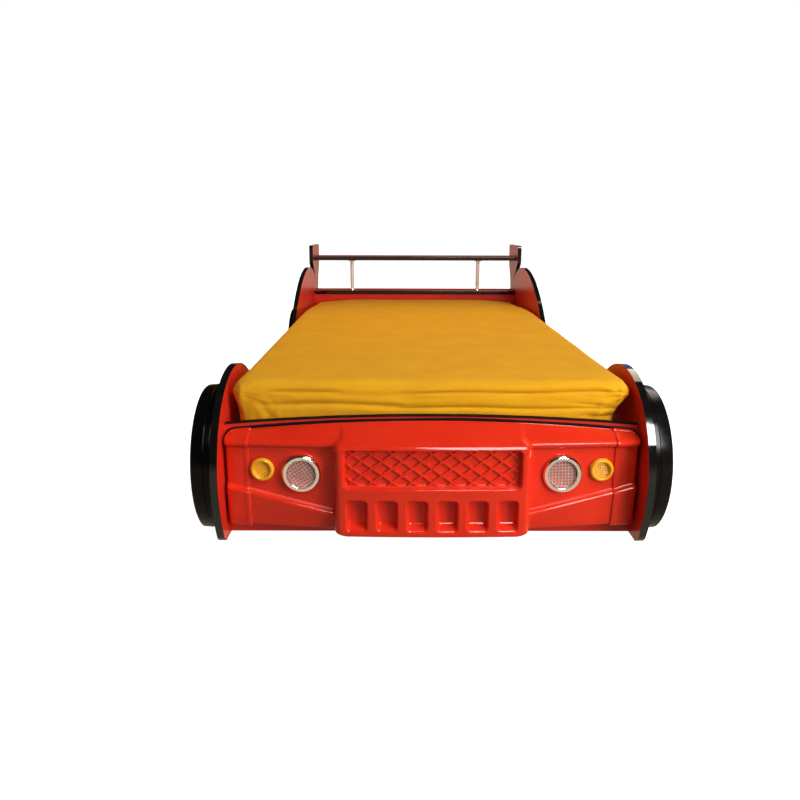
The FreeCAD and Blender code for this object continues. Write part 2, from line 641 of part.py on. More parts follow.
# ---- Assembly -----------------------------------------------------------------------------------
def build():
    parts = {}
    blank = side_panel_blank()
    screws, caps = zip(*[confirmat(station, z) for station, z in CONFIRMATS])
    glides = [glide(station) for station in GLIDE_STATIONS]
    ledger_screws = [ledger_screw(station) for station in LEDGER_SCREW_STATIONS]
    wheel_bolts = []
    for station in WHEEL_STATIONS.values():
        wheel_bolts += [wheel_bolt(y, z) for y, z in wheel_bolt_places(station)]
    fixings = Part.makeCompound(list(screws) + glides + ledger_screws + wheel_bolts)
    both_sides = Part.makeCompound([fixings, mirrored(fixings)])
    right_panel = blank.cut(fixings)
    parts["side_panel_right"] = right_panel
    parts["side_panel_left"] = mirrored(right_panel)
    edging = side_edging(blank)
    parts["side_edging_right"] = edging
    parts["side_edging_left"] = mirrored(edging)

    bumper_screws = [bumper_screw(x) for x, _ in BUMPER_SCREWS]
    parts["front_board"] = front_board().cut(both_sides).cut(Part.makeCompound(bumper_screws))
    parts["front_board_edging"] = front_board_edging()
    headboard_depth = (HEADBOARD_FRONT, HEADBOARD_FRONT + BOARD)
    headboard = box((-HALF, HALF), headboard_depth, (HEADBOARD_BOTTOM, SHELF_BOTTOM))
    parts["headboard"] = headboard.cut(both_sides)
    shelf, parts["shelf_edging"] = shelf_like(SHELF_FRONT, SHELF_DEPTH, SHELF_BOTTOM)
    wing, parts["wing_edging"] = shelf_like(SHELF_FRONT, WING_DEPTH, WING_BOTTOM)
    parts["headboard_shelf"] = shelf.cut(both_sides)
    parts["wing_board"] = wing.cut(both_sides)
    parts["wing_strut_right"] = strut(STRUT_X)
    parts["wing_strut_left"] = strut(-STRUT_X)
    parts["strut_flanges"] = group(flanges(STRUT_X) + flanges(-STRUT_X))

    rail = ledger_rail().cut(fixings)
    parts["ledger_rail_right"] = rail
    parts["ledger_rail_left"] = mirrored(rail)
    parts["slats"] = group([slat(index) for index in range(SLATS)])
    parts["slat_webbing"] = group([webbing(-WEBBING_X), webbing(WEBBING_X)])
    parts["cross_rail"] = cross_rail().cut(both_sides)

    shell = bumper_shell().cut(Part.makeCompound(bumper_screws))
    parts["bumper_shell"] = shell
    cap = end_cap()
    parts["bumper_end_cap_right"] = cap
    parts["bumper_end_cap_left"] = mirrored(cap)
    parts["bumper_trim"] = bumper_trim()
    parts["bumper_screws"] = group(bumper_screws)
    for name, piece in zip(("headlamp_bezel", "headlamp_lens", "headlamp_reflector"), headlamp()):
        parts[f"{name}_right"] = piece
        parts[f"{name}_left"] = mirrored(piece)
    for name, piece in zip(("indicator_housing", "indicator_lens"), indicator()):
        parts[f"{name}_right"] = piece
        parts[f"{name}_left"] = mirrored(piece)

    for end, station in WHEEL_STATIONS.items():
        for label, piece in zip(("spacer", "tyre", "hub_cap"), wheel(station)):
            piece = piece.cut(fixings)
            parts[f"wheel_{label}_{end}_right"] = piece
            parts[f"wheel_{label}_{end}_left"] = mirrored(piece)

    for name, solids in (("panel_screws", screws), ("screw_caps", caps), ("floor_glides", glides),
                         ("ledger_screws", ledger_screws), ("wheel_bolts", wheel_bolts)):
        parts[name] = group(list(solids) + [mirrored(solid) for solid in solids])

    parts["mattress"] = mattress_block(SHEET_THICKNESS)
    parts["fitted_sheet"] = fitted_sheet()
    return parts


def main():
    os.makedirs("parts", exist_ok=True)
    parts = build()
    centre_station = parts["side_panel_right"].BoundBox.Center.y
    print(f"the row's origin is at station {centre_station:.2f}")
    for name, shape in parts.items():
        shape = shape.copy()
        shape.translate(V(0, -centre_station, 0))
        shape.exportStep(f"parts/{name}.step")
        print(f"{name}: {len(shape.Solids)} solids, valid {shape.isValid()}, {shape.Volume / 1000:.1f} cm3")


main()
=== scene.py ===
import math

import bpy
import numpy as np
from mathutils import Matrix, Vector


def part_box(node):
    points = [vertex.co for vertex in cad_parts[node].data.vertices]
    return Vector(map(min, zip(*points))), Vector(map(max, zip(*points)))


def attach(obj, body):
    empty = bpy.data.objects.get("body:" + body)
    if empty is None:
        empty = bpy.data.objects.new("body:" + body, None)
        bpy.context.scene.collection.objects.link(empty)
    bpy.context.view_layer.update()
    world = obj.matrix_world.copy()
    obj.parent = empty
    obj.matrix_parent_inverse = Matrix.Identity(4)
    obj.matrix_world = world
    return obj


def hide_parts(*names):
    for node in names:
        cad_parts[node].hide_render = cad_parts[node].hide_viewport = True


# Toddler bed shaped like a racing car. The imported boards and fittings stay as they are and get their
# materials here; the bumper, lamps, wheels, gasket, mattress and fitted sheet are made in full detail.
# Lengths are in millimetres until MM turns them into Blender's metres. x runs to the bed's left-hand side
# as seen from its head, y from foot to head, and "out" is how far something stands proud of the front board.

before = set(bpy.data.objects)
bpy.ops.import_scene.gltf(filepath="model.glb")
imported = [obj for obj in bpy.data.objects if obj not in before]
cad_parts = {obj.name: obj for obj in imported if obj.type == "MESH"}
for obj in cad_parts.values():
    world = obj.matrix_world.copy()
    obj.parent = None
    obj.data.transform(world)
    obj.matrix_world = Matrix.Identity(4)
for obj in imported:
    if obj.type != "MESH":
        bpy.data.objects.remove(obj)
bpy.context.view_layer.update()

MM = 0.001
SIDES = ((-1, "left"), (1, "right"))
OUTWARD = {-1: "-x", 1: "+x"}
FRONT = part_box("front_board")[0].y / MM          # outer face of the front board
PANEL_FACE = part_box("side_panel_right")[1].x / MM


# ---- Camera, stage and light --------------------------------------------------------------------
CAMERA_PLACE = (-0.058, FRONT * MM - 1.2196, 0.570)
CAMERA_PITCH, CAMERA_YAW, CAMERA_ROLL = 14.47, 0.10, 0.13
LENS = 32.49


def add_camera():
    data = bpy.data.cameras.new("camera")
    data.sensor_width, data.lens = 36, LENS
    camera = bpy.data.objects.new("camera", data)
    bpy.context.collection.objects.link(camera)
    turn = (Matrix.Rotation(math.radians(-CAMERA_YAW), 4, "Z")
            @ Matrix.Rotation(math.radians(90 - CAMERA_PITCH), 4, "X")
            @ Matrix.Rotation(math.radians(CAMERA_ROLL), 4, "Z"))
    camera.matrix_world = Matrix.Translation(CAMERA_PLACE) @ turn
    bpy.context.scene.camera = camera


def add_floor():
    size = 30
    mesh = bpy.data.meshes.new("floor")
    corners = [(-size, -size, 0), (size, -size, 0), (size, size, 0), (-size, size, 0)]
    mesh.from_pydata(corners, [], [(0, 1, 2, 3)])
    floor = bpy.data.objects.new("floor", mesh)
    bpy.context.collection.objects.link(floor)
    floor.visible_glossy = floor.visible_diffuse = False
    look, shader = new_material("floor_paint", (0.62, 0.62, 0.62), 0.9, Emission_Color=(1, 1, 1, 1),
                                Emission_Strength=1.0)
    colour_between(look, shader, noise(look, 3, 2), (0.60, 0.60, 0.60), (0.64, 0.64, 0.64))
    mesh.materials.append(look)


def add_light(name, target, azimuth, elevation, distance, size, radiance, colour=(1, 1, 1), glossy=True,
              diffuse=True):
    """A soft rectangle of light. Azimuth is to the right of the view along the bed, in degrees."""
    data = bpy.data.lights.new(name, "AREA")
    data.shape = "RECTANGLE"
    data.size, data.size_y = size
    data.energy = radiance * math.pi * size[0] * size[1]
    data.color = colour
    light = bpy.data.objects.new(name, data)
    bpy.context.collection.objects.link(light)
    turn, rise = math.radians(azimuth), math.radians(elevation)
    away = Vector((math.sin(turn) * math.cos(rise), -math.cos(turn) * math.cos(rise), math.sin(rise)))
    light.location = Vector(target) + away * distance
    light.rotation_euler = away.to_track_quat("Z", "Y").to_euler()
    light.visible_glossy, light.visible_diffuse = glossy, diffuse
    light.visible_camera = False


def add_world():
    """White to the eye, an even soft fill for matt surfaces and a dim warm room for glossy ones."""
    world = bpy.data.worlds.new("studio")
    bpy.context.scene.world = world
    world.use_nodes = True
    world.node_tree.nodes.clear()
    path, height = node(world, "LightPath"), node(world, "SeparateXYZ")
    link(world, node(world, "TexCoord").outputs["Generated"], height.inputs[0])
    half = node(world, "Math", operation="MULTIPLY_ADD")
    half.inputs[1].default_value = half.inputs[2].default_value = 0.5
    link(world, height.outputs["Z"], half.inputs[0])
    seen, fill, room = [node(world, "Background") for _ in range(3)]
    seen.inputs["Color"].default_value = (1, 1, 1, 1)
    fill.inputs["Color"].default_value = (1, 0.985, 0.96, 1)
    fill.inputs["Strength"].default_value = 0.20
    warm_below = ramp_between(world, half.outputs[0], (0.60, 0.53, 0.40), (0.015, 0.014, 0.012), 0.47, 0.58)
    link(world, warm_below, room.inputs["Color"])
    lit = either(world, path.outputs["Is Glossy Ray"], fill, room)
    shown = either(world, path.outputs["Is Camera Ray"], lit, seen)
    link(world, shown.outputs[0], node(world, "OutputWorld").inputs["Surface"])


def either(world, switch, off, on):
    mix = node(world, "MixShader")
    for source, target in zip((switch, off.outputs[0], on.outputs[0]), mix.inputs):
        link(world, source, target)
    return mix


def add_lights():
    bumper, wheel, warm = (0, -0.8, 0.15), (0.41, -0.67, 0.25), (1, 0.98, 0.95)
    add_world()
    add_light("key_shine", bumper, 23, 46, 3.2, (1.40, 1.9), 34, diffuse=False)
    add_light("key_glow", (0.1, -0.3, 0.2), 34, 48, 3.0, (1.6, 1.6), 5.9, warm, glossy=False)
    add_light("side_glow", (0.5, -0.8, 0.15), 46, 14, 1.6, (1.0, 1.0), 10.6, warm, glossy=False)
    add_light("back_fill", (0, 0.7, 0.25), 180, 8, 3.2, (2.4, 1.4), 2.0, warm, glossy=False)
    add_light("left_fill", (-0.4, 0, 0.15), 265, 8, 3.0, (2.2, 1.0), 2.4, warm, glossy=False)
    add_light("sheet_bounce", (0, -0.79, 0.21), 180, 40, 1.3, (0.9, 0.5), 2.4, (1, 0.58, 0.12))
    add_light("back_card_warm", wheel, 153, 39, 3.0, (0.9, 1.5), 4.5, (1.0, 0.90, 0.72), diffuse=False)
    add_light("back_card_blue", wheel, 160, 14, 3.0, (0.9, 0.9), 0.5, (0.35, 0.38, 1.0), diffuse=False)
    scene = bpy.context.scene
    scene.view_settings.view_transform = "Standard"
    scene.view_settings.look = "None"


# ---- Materials ----------------------------------------------------------------------------------
def new_material(name, colour, roughness, **sockets):
    look = bpy.data.materials.new(name)
    look.use_nodes = True
    shader = look.node_tree.nodes["Principled BSDF"]
    shader.inputs["Base Color"].default_value = (*colour, 1)
    shader.inputs["Roughness"].default_value = roughness
    for socket, value in sockets.items():
        shader.inputs[socket.replace("_", " ")].default_value = value
    return look, shader


def set_all(target, **settings):
    for key, value in settings.items():
        setattr(target, key, value)


def node(look, kind, **settings):
    made = look.node_tree.nodes.new("ShaderNode" + kind)
    set_all(made, **settings)
    return made


def link(look, source, target):
    look.node_tree.links.new(source, target)


def place(look, stretch=(1, 1, 1)):
    """Object coordinates in metres, scaled by stretch."""
    where = node(look, "TexCoord")
    mapping = node(look, "Mapping")
    mapping.inputs["Scale"].default_value = stretch
    link(look, where.outputs["Object"], mapping.inputs["Vector"])
    return mapping.outputs["Vector"]


def noise(look, scale, detail, stretch=(1, 1, 1)):
    made = node(look, "TexNoise")
    made.inputs["Scale"].default_value = scale
    made.inputs["Detail"].default_value = detail
    link(look, place(look, stretch), made.inputs["Vector"])
    return made.outputs["Fac"]


def wave(look, scale, direction, distortion, stretch=(1, 1, 1)):
    made = node(look, "TexWave", bands_direction=direction)
    made.inputs["Scale"].default_value = scale
    made.inputs["Distortion"].default_value = distortion
    link(look, place(look, stretch), made.inputs["Vector"])
    return made.outputs["Fac"]


def ramp_between(look, factor, low, high, start=0.3, end=0.7):
    ramp = node(look, "ValToRGB")
    for element, position, colour in zip(ramp.color_ramp.elements, (start, end), (low, high)):
        element.position, element.color = position, (*colour, 1)
    link(look, factor, ramp.inputs[0])
    return ramp.outputs["Color"]


def colour_between(look, shader, factor, low, high, start=0.3, end=0.7):
    colour = ramp_between(look, factor, low, high, start, end)
    link(look, colour, shader.inputs["Base Color"])


def roughness_between(look, shader, factor, low, high):
    between = node(look, "MapRange")
    for socket, value in (("From Min", 0.3), ("From Max", 0.7), ("To Min", low), ("To Max", high)):
        between.inputs[socket].default_value = value
    link(look, factor, between.inputs["Value"])
    link(look, between.outputs["Result"], shader.inputs["Roughness"])
    return between.outputs["Result"]


def joined(look, first, second, operation="ADD"):
    made = node(look, "Math", operation=operation)
    link(look, first, made.inputs[0])
    link(look, second, made.inputs[1])
    return made.outputs[0]


def bumps(look, shader, height, depth_mm, strength):
    bump = node(look, "Bump")
    bump.inputs["Strength"].default_value = strength
    bump.inputs["Distance"].default_value = depth_mm * MM
    link(look, height, bump.inputs["Height"])
    link(look, bump.outputs["Normal"], shader.inputs["Normal"])


def gloss_plastic(name, dark, light, roughness, specular=0.5):
    """Moulded plastic: faint flow marks in the colour, uneven gloss and a shallow orange peel. Where the mesh
    has the attribute dull, the mould's hollows are less polished."""
    look, shader = new_material(name, light, roughness, Specular_IOR_Level=specular)
    colour_between(look, shader, noise(look, 9, 4, (1, 1, 2.5)), dark, light)
    gloss = roughness_between(look, shader, noise(look, 60, 5), roughness * 0.75, roughness * 1.45)
    dull = node(look, "Attribute", attribute_name="dull")
    link(look, joined(look, gloss, dull.outputs["Fac"]), shader.inputs["Roughness"])
    bumps(look, shader, noise(look, 260, 3), 0.05, 0.5)
    return look


def lacquered_board(name, dark, light):
    """Sprayed fibreboard: fine spray texture under a satin coat."""
    look, shader = new_material(name, light, 0.33, Coat_Weight=0.08, Coat_Roughness=0.12,
                                Specular_IOR_Level=0.3)
    colour_between(look, shader, noise(look, 6, 5), dark, light)
    roughness_between(look, shader, noise(look, 140, 4), 0.26, 0.42)
    bumps(look, shader, noise(look, 520, 4), 0.05, 0.55)
    return look


def rubber_edging(name, low, high, specular=0.5):
    look, shader = new_material(name, (0.006, 0.006, 0.006), low, Specular_IOR_Level=specular)
    colour_between(look, shader, noise(look, 40, 4), (0.004, 0.004, 0.004), (0.008, 0.0078, 0.0075))
    roughness_between(look, shader, noise(look, 50, 4), low, high)
    bumps(look, shader, noise(look, 160, 3), 0.03, 0.25)
    return look


def plated(name, colour, low, high, brushed=(1, 1, 1), metal=1.0):
    look, shader = new_material(name, colour, low, Metallic=metal)
    marks = noise(look, 900, 4, brushed)
    colour_between(look, shader, noise(look, 25, 3), tuple(c * 0.92 for c in colour), colour)
    roughness_between(look, shader, marks, low, high)
    bumps(look, shader, marks, 0.003, 0.15)
    return look


def clear_plastic(name):
    look, shader = new_material(name, (0.95, 0.93, 0.90), 0.05, Alpha=0.07, IOR=1.49)
    roughness_between(look, shader, noise(look, 150, 3), 0.03, 0.09)
    return look


def frosted_plastic_painted_red_light(name):
    # The bars' pink-red colour is painted light: it stands for the red reflector cup seen through the clear
    # lens.
    look, shader = new_material(name, (0.78, 0.62, 0.54), 0.3, IOR=1.49)
    colour_between(look, shader, noise(look, 220, 3), (0.50, 0.22, 0.16), (0.68, 0.37, 0.30))
    return look


def pine(name):
    """Planed softwood with its grain along x: rings, streaks and the odd darker board."""
    look, shader = new_material(name, (0.70, 0.50, 0.30), 0.55)
    rings = wave(look, 9, "Y", 7.0, (0.35, 3.0, 3.0))
    streaks = noise(look, 14, 6, (0.6, 22, 22))
    grain = joined(look, rings, streaks, "MULTIPLY")
    colour_between(look, shader, grain, (0.66, 0.45, 0.25), (0.80, 0.62, 0.40), 0.1, 0.6)
    roughness_between(look, shader, streaks, 0.48, 0.66)
    bumps(look, shader, grain, 0.12, 0.5)
    return look


def woven(name, dark, light, threads_per_mm, depth, roughness, sheen=0.0):
    """Plain weave: two sets of threads crossing at right angles, with slubs and soft mottling."""
    look, shader = new_material(name, light, roughness, Sheen_Weight=sheen, Sheen_Roughness=0.5,
                                Specular_IOR_Level=0.12)
    pitch = threads_per_mm * 1000 / 6.28 * 2
    warp, weft, rise = [wave(look, pitch, direction, 0.6) for direction in "XYZ"]
    cloth = joined(look, joined(look, warp, weft, "MULTIPLY"), rise)
    colour_between(look, shader, noise(look, 14, 6), dark, light)
    slubs = noise(look, 260, 4, (1, 0.2, 1))
    bumps(look, shader, joined(look, cloth, slubs), depth, 0.6)
    return look


def make_materials():
    return {
        "red_board": lacquered_board("lacquered_red_board", (0.62, 0.020, 0.008), (0.70, 0.026, 0.010)),
        "black_edging": rubber_edging("black_t_moulding", 0.05, 0.09),
        "matt_edging": rubber_edging("matt_black_rubber", 0.55, 0.75, 0.05),
        "red_plastic": gloss_plastic("gloss_red_moulding", (0.73, 0.026, 0.009), (0.79, 0.034, 0.012), 0.07,
                                     specular=0.19),
        "black_plastic": gloss_plastic("gloss_black_moulding", (0.0035, 0.0035, 0.0035),
                                       (0.006, 0.0055, 0.005), 0.18, specular=0.12),
        "grey_plastic": gloss_plastic("silver_grey_moulding", (0.40, 0.41, 0.43), (0.47, 0.48, 0.50), 0.24),
        "chrome": plated("bright_plating", (0.95, 0.93, 0.89), 0.07, 0.14),
        # The struts' white base colour on a part-metal shader is a painted reflection: it stands for the
        # bright room that the chrome tubes mirror.
        "strut": plated("polished_strut_painted_reflection", (0.95, 0.95, 0.94), 0.10, 0.18, metal=0.35),
        "clear_lens": clear_plastic("clear_acrylic"),
        "frosted_lens_painted_red_light": frosted_plastic_painted_red_light("frosted_acrylic_painted_red_light"),
        "amber_plastic": gloss_plastic("amber_moulding", (0.84, 0.36, 0.006), (0.92, 0.43, 0.010), 0.14),
        "pine": pine("planed_pine"),
        "webbing": woven("white_tape", (0.72, 0.71, 0.68), (0.84, 0.83, 0.80), 1.0, 0.25, 0.85),
        "zinc": plated("zinc_plate", (0.62, 0.62, 0.60), 0.22, 0.42, (1, 1, 8)),
        "foam": woven("mattress_ticking", (0.84, 0.82, 0.77), (0.92, 0.90, 0.86), 0.9, 0.3, 0.9, 0.2),
        "yellow_cotton": woven("yellow_cotton_sheet", (0.76, 0.36, 0.0045), (0.82, 0.40, 0.006), 1.6, 0.10,
                               0.9),
        "glide_plastic": gloss_plastic("dark_glide_plastic", (0.05, 0.05, 0.05), (0.08, 0.08, 0.08), 0.4),
    }


# ---- Mesh tools ---------------------------------------------------------------------------------
def new_piece(name, points, faces, slot, body="bed_frame", look=None):
    """A smooth-shaded mesh piece from points in millimetres."""
    mesh = bpy.data.meshes.new(name)
    mesh.from_pydata((np.asarray(points, float) * MM).tolist(), [], faces)
    mesh.validate()
    mesh.polygons.foreach_set("use_smooth", [True] * len(mesh.polygons))
    mesh.materials.append(LOOKS[look or slot])
    piece = bpy.data.objects.new(name, mesh)
    bpy.context.collection.objects.link(piece)
    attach(piece, body)
    return piece


def places_of(mesh):
    """A mesh's points, in millimetres."""
    places = np.empty(len(mesh.vertices) * 3)
    mesh.vertices.foreach_get("co", places)
    return places.reshape(-1, 3) / MM


def move_points(mesh, places):
    mesh.vertices.foreach_set("co", (places * MM).ravel())
    mesh.update()


def smooth_step(low, high, value):
    t = np.clip((value - low) / (high - low), 0, 1)
    return t * t * (3 - 2 * t)


def lathe_rows(profile, segments):
    """Rows of points round the z axis from (radius, height) pairs."""
    angles = np.linspace(0, 2 * math.pi, segments, endpoint=False)
    return np.array([[(r * math.cos(a), r * math.sin(a), h) for a in angles] for r, h in profile])


def ring_faces(rows, segments, first=0, closed=False):
    faces = []
    for i in range(rows if closed else rows - 1):
        low, high = first + i * segments, first + (i + 1) % rows * segments
        for j in range(segments):
            k = (j + 1) % segments
            faces.append((low + j, low + k, high + k, high + j))
    return faces


def rounded_path(corners, steps=5):
    """A polyline through (a, b, radius) corners, each rounded by an arc of points."""
    path = []
    count = len(corners)
    for i, (a, b, radius) in enumerate(corners):
        here = np.array([a, b], float)
        before, after = np.array(corners[i - 1][:2], float), np.array(corners[(i + 1) % count][:2], float)
        if radius == 0:
            path.append(here)
            continue
        back, on = before - here, after - here
        back, on = back / np.linalg.norm(back), on / np.linalg.norm(on)
        half = math.acos(np.clip(back @ on, -1, 1)) / 2
        reach = radius / math.tan(half)
        for t in np.linspace(0, 1, steps + 1):
            start, end = here + back * reach, here + on * reach
            path.append((1 - t) ** 2 * start + 2 * t * (1 - t) * here + t * t * end)
    return [tuple(point) for point in path]


def turned(points, axis):
    """Turns points drawn round the z axis so that z points along axis ('-y', '+x' or '-x')."""
    x, y, z = np.moveaxis(points, -1, 0)
    if axis == "-y":
        return np.stack([x, -z, y], -1)
    side = 1 if axis == "+x" else -1
    return np.stack([side * z, side * x, y], -1)


# ---- Bumper -------------------------------------------------------------------------------------
BUMPER_HALF = 356
COLUMNS, ROWS = 485, 161        # of the moulding's mesh, both odd
BUMPER_BACK = 2               # the gasket's thickness, between bumper and board
SKIN = 3
HOOD_TOP, HOOD_DROP, HOOD_EDGE_OUT = 218.5, 18.5, 3.2
APRON_LOW, APRON_RISE = 27, 8
LIP_OUT, LIP_BOW, LIP_Z, LIP_UNDER_Z = 50, 17, 188, 183
PANEL_IN, PANEL_TOP_Z = 10.5, 177
CREST_IN, APRON_IN, CREST_SLOPE = 1.5, 9, 6
CREST_LOW_Z, CREST_END_Z = 59, 105
FRAME_HALF, FRAME_OUT, FRAME_BOW, FRAME_LOW, FRAME_TOP_Z = 170, 66, 4, 24, 190
FRAME_WALL, FRAME_CORNER = 13, 18
MESH_HALF, MESH_LOW, MESH_HIGH, MESH_DEPTH, MESH_CORNER = 153, 113, 183, 13, 9
RIB_PITCH, RIB_ANGLE, RIB_HEIGHT, RIB_WIDTH = 34.4, 36, 3.2, 4.4
RIB_LINES = 8                   # ribs of each slant on either side of the middle one
POCKETS, POCKET_PITCH, POCKET_WIDTH = 6, 52.2, 36
POCKET_LOW, POCKET_HIGH, POCKET_DEPTH, POCKET_CORNER, POCKET_LEDGE = 33, 92, 16, 7, 14
CAP_START, CAP_END, CAP_PROUD, CAP_BEAD, CAP_CORNER = 318, 360, 2.5, 12, 12
CAP_ROUND, CAP_EDGE, SHELL_EDGE = 6, 4.5, 4.0   # rounding of a cap's end, its long edges and the shell's
HEADLAMP_X, HEADLAMP_Z, HEADLAMP_RADIUS, LENS_RADIUS = 227, 132, 34, 25
INDICATOR_X, INDICATOR_Z, INDICATOR_RADIUS, DIMPLE_RADIUS = 296, 138, 21, 14
BEAD_IN, BEAD_OUT, BEAD_HEIGHT = 3.6, 2.3, 3.8    # the gasket's section
WAFFLE_PITCH, WAFFLE_BAR, PILLOW_PITCH, PILLOW_HEIGHT = 5.6, 1.45, 4.4, 1.2


def bow(x, amount):
    return amount * (x / BUMPER_HALF) ** 2


def hood_top(x):
    """The upper edge: a shallow arch with rounded corners at the end caps."""
    return HOOD_TOP - bow(x, HOOD_DROP) - edge_rounding(CAP_END - np.abs(x), CAP_CORNER)


def apron_bottom(x):
    """The lower edge: it drops in a soft step under the grille frame."""
    body = APRON_LOW + bow(x, APRON_RISE)
    return body + (FRAME_LOW - body) * (1 - smooth_step(FRAME_HALF - 24, FRAME_HALF + 1, np.abs(x)))


def body_out(x, z):
    """How far the bumper's body stands out: apron, diagonal crest, lamp panel, lip and hood."""
    out = LIP_OUT - bow(x, LIP_BOW)
    along = np.clip((np.abs(x) - FRAME_HALF) / (BUMPER_HALF - FRAME_HALF), 0, 1.1)
    crest = CREST_LOW_Z + (CREST_END_Z - CREST_LOW_Z) * along
    low, top = apron_bottom(x), hood_top(x)
    heights = [low - 20, low + 2, crest - 6, crest - 2, crest + 1, crest + 3, crest + CREST_SLOPE,
               PANEL_TOP_Z, LIP_UNDER_Z, LIP_Z, LIP_Z + 5, top]
    outs = [out - APRON_IN - 4, out - APRON_IN, out - CREST_IN - 0.6, out - CREST_IN, out - CREST_IN - 0.7,
            out - CREST_IN - 2.8, out - PANEL_IN, out - PANEL_IN, out - 1, out, out - 5, HOOD_EDGE_OUT]
    result = outs[0]
    for i in range(1, len(heights)):
        span = np.maximum(heights[i] - heights[i - 1], 0.01)
        t = np.clip((z - heights[i - 1]) / span, 0, 1)
        result = result + (outs[i] - outs[i - 1]) * t
    return result


def rounded_box_depth(x, z, centre, half, low, high, corner):
    """Signed distance into a rounded rectangle, positive inside."""
    a = np.abs(x - centre) - (half - corner)
    b = np.abs(z - (low + high) / 2) - ((high - low) / 2 - corner)
    outside = np.hypot(np.maximum(a, 0), np.maximum(b, 0)) + np.minimum(np.maximum(a, b), 0)
    return corner - outside


def frame_share(x, z):
    """1 on the grille frame's face, 0 beside it, with rounded shoulders and upper corners."""
    rise = np.clip(z - (FRAME_TOP_Z - 11), 0, FRAME_CORNER - 1)
    half = FRAME_HALF + 1 - (FRAME_CORNER - np.sqrt(FRAME_CORNER ** 2 - rise ** 2))
    t = np.clip((np.abs(x) - (half - FRAME_WALL)) / FRAME_WALL, 0, 1)
    return np.sqrt(np.clip(1 - t ** 2.4, 0, 1))


def frame_out(x, z):
    face = FRAME_OUT - FRAME_BOW * (x / FRAME_HALF) ** 2
    top = hood_top(x)
    above = np.clip((z - FRAME_TOP_Z) / (top - FRAME_TOP_Z), 0, 1)
    hood = (face - 5) * (1 - above) + HOOD_EDGE_OUT * above
    blend = smooth_step(FRAME_TOP_Z - 7, FRAME_TOP_Z + 3, z)
    return face * (1 - blend) + np.minimum(hood, face) * blend


def recesses(x, z):
    inside = rounded_box_depth(x, z, 0, MESH_HALF, MESH_LOW, MESH_HIGH, MESH_CORNER)
    depth = MESH_DEPTH * smooth_step(0, 4.5, inside)
    for index in range(POCKETS):
        centre = (index - (POCKETS - 1) / 2) * POCKET_PITCH
        inside = rounded_box_depth(x, z, centre, POCKET_WIDTH / 2, POCKET_LOW, POCKET_HIGH, POCKET_CORNER)
        walls = smooth_step(-0.5, 4.5, inside)
        ledge = smooth_step(0, POCKET_LEDGE, z - POCKET_LOW - 1)
        depth = depth + POCKET_DEPTH * walls * ledge
    return depth


def bumper_out(x, z, blur=0.81):
    """The whole bumper's height field, its arrises softened by a small blur."""
    weights = [(-2, 0.06), (-1, 0.24), (0, 0.40), (1, 0.24), (2, 0.06)]
    total = 0 * x
    for i, wide in weights:
        for j, tall in weights:
            xx, zz = x + i * blur, z + j * blur
            zz = np.clip(zz, apron_bottom(xx), hood_top(xx))
            share = frame_share(xx, zz)
            base = body_out(xx, zz)
            face = base + np.maximum(frame_out(xx, zz) - base, 0) * share
            total = total + wide * tall * (face - recesses(xx, zz) * share)
    return total


def edge_rounding(distance, radius):
    """What a rounded edge takes off the surface at a distance from the edge."""
    inside = np.clip(radius - distance, 0, radius)
    return radius - np.sqrt(radius ** 2 - inside ** 2)


def spread(low, high, count, steep):
    """Places from low to high that lie closer together where the surface is steep."""
    fine = np.linspace(low, high, len(steep))
    share = np.cumsum(1 + 1.6 * np.clip(steep, 0, 2.5))
    share = (share - share[0]) / (share[-1] - share[0])
    return np.interp(np.linspace(0, 1, count), share, fine)


def bumper_rows(x, v, grow=0.0):
    """Heights at the share v (0 to 1) up the bumper. Only its edges bend: the recesses' rows stay level."""
    z = FRAME_LOW + (HOOD_TOP - FRAME_LOW) * v
    low = (apron_bottom(x) - grow - FRAME_LOW) * np.clip((110 - z) / (110 - FRAME_LOW), 0, 1)
    high = (hood_top(x) + grow - HOOD_TOP) * np.clip((z - LIP_Z - 6) / (HOOD_TOP - LIP_Z - 6), 0, 1)
    return z + low + high


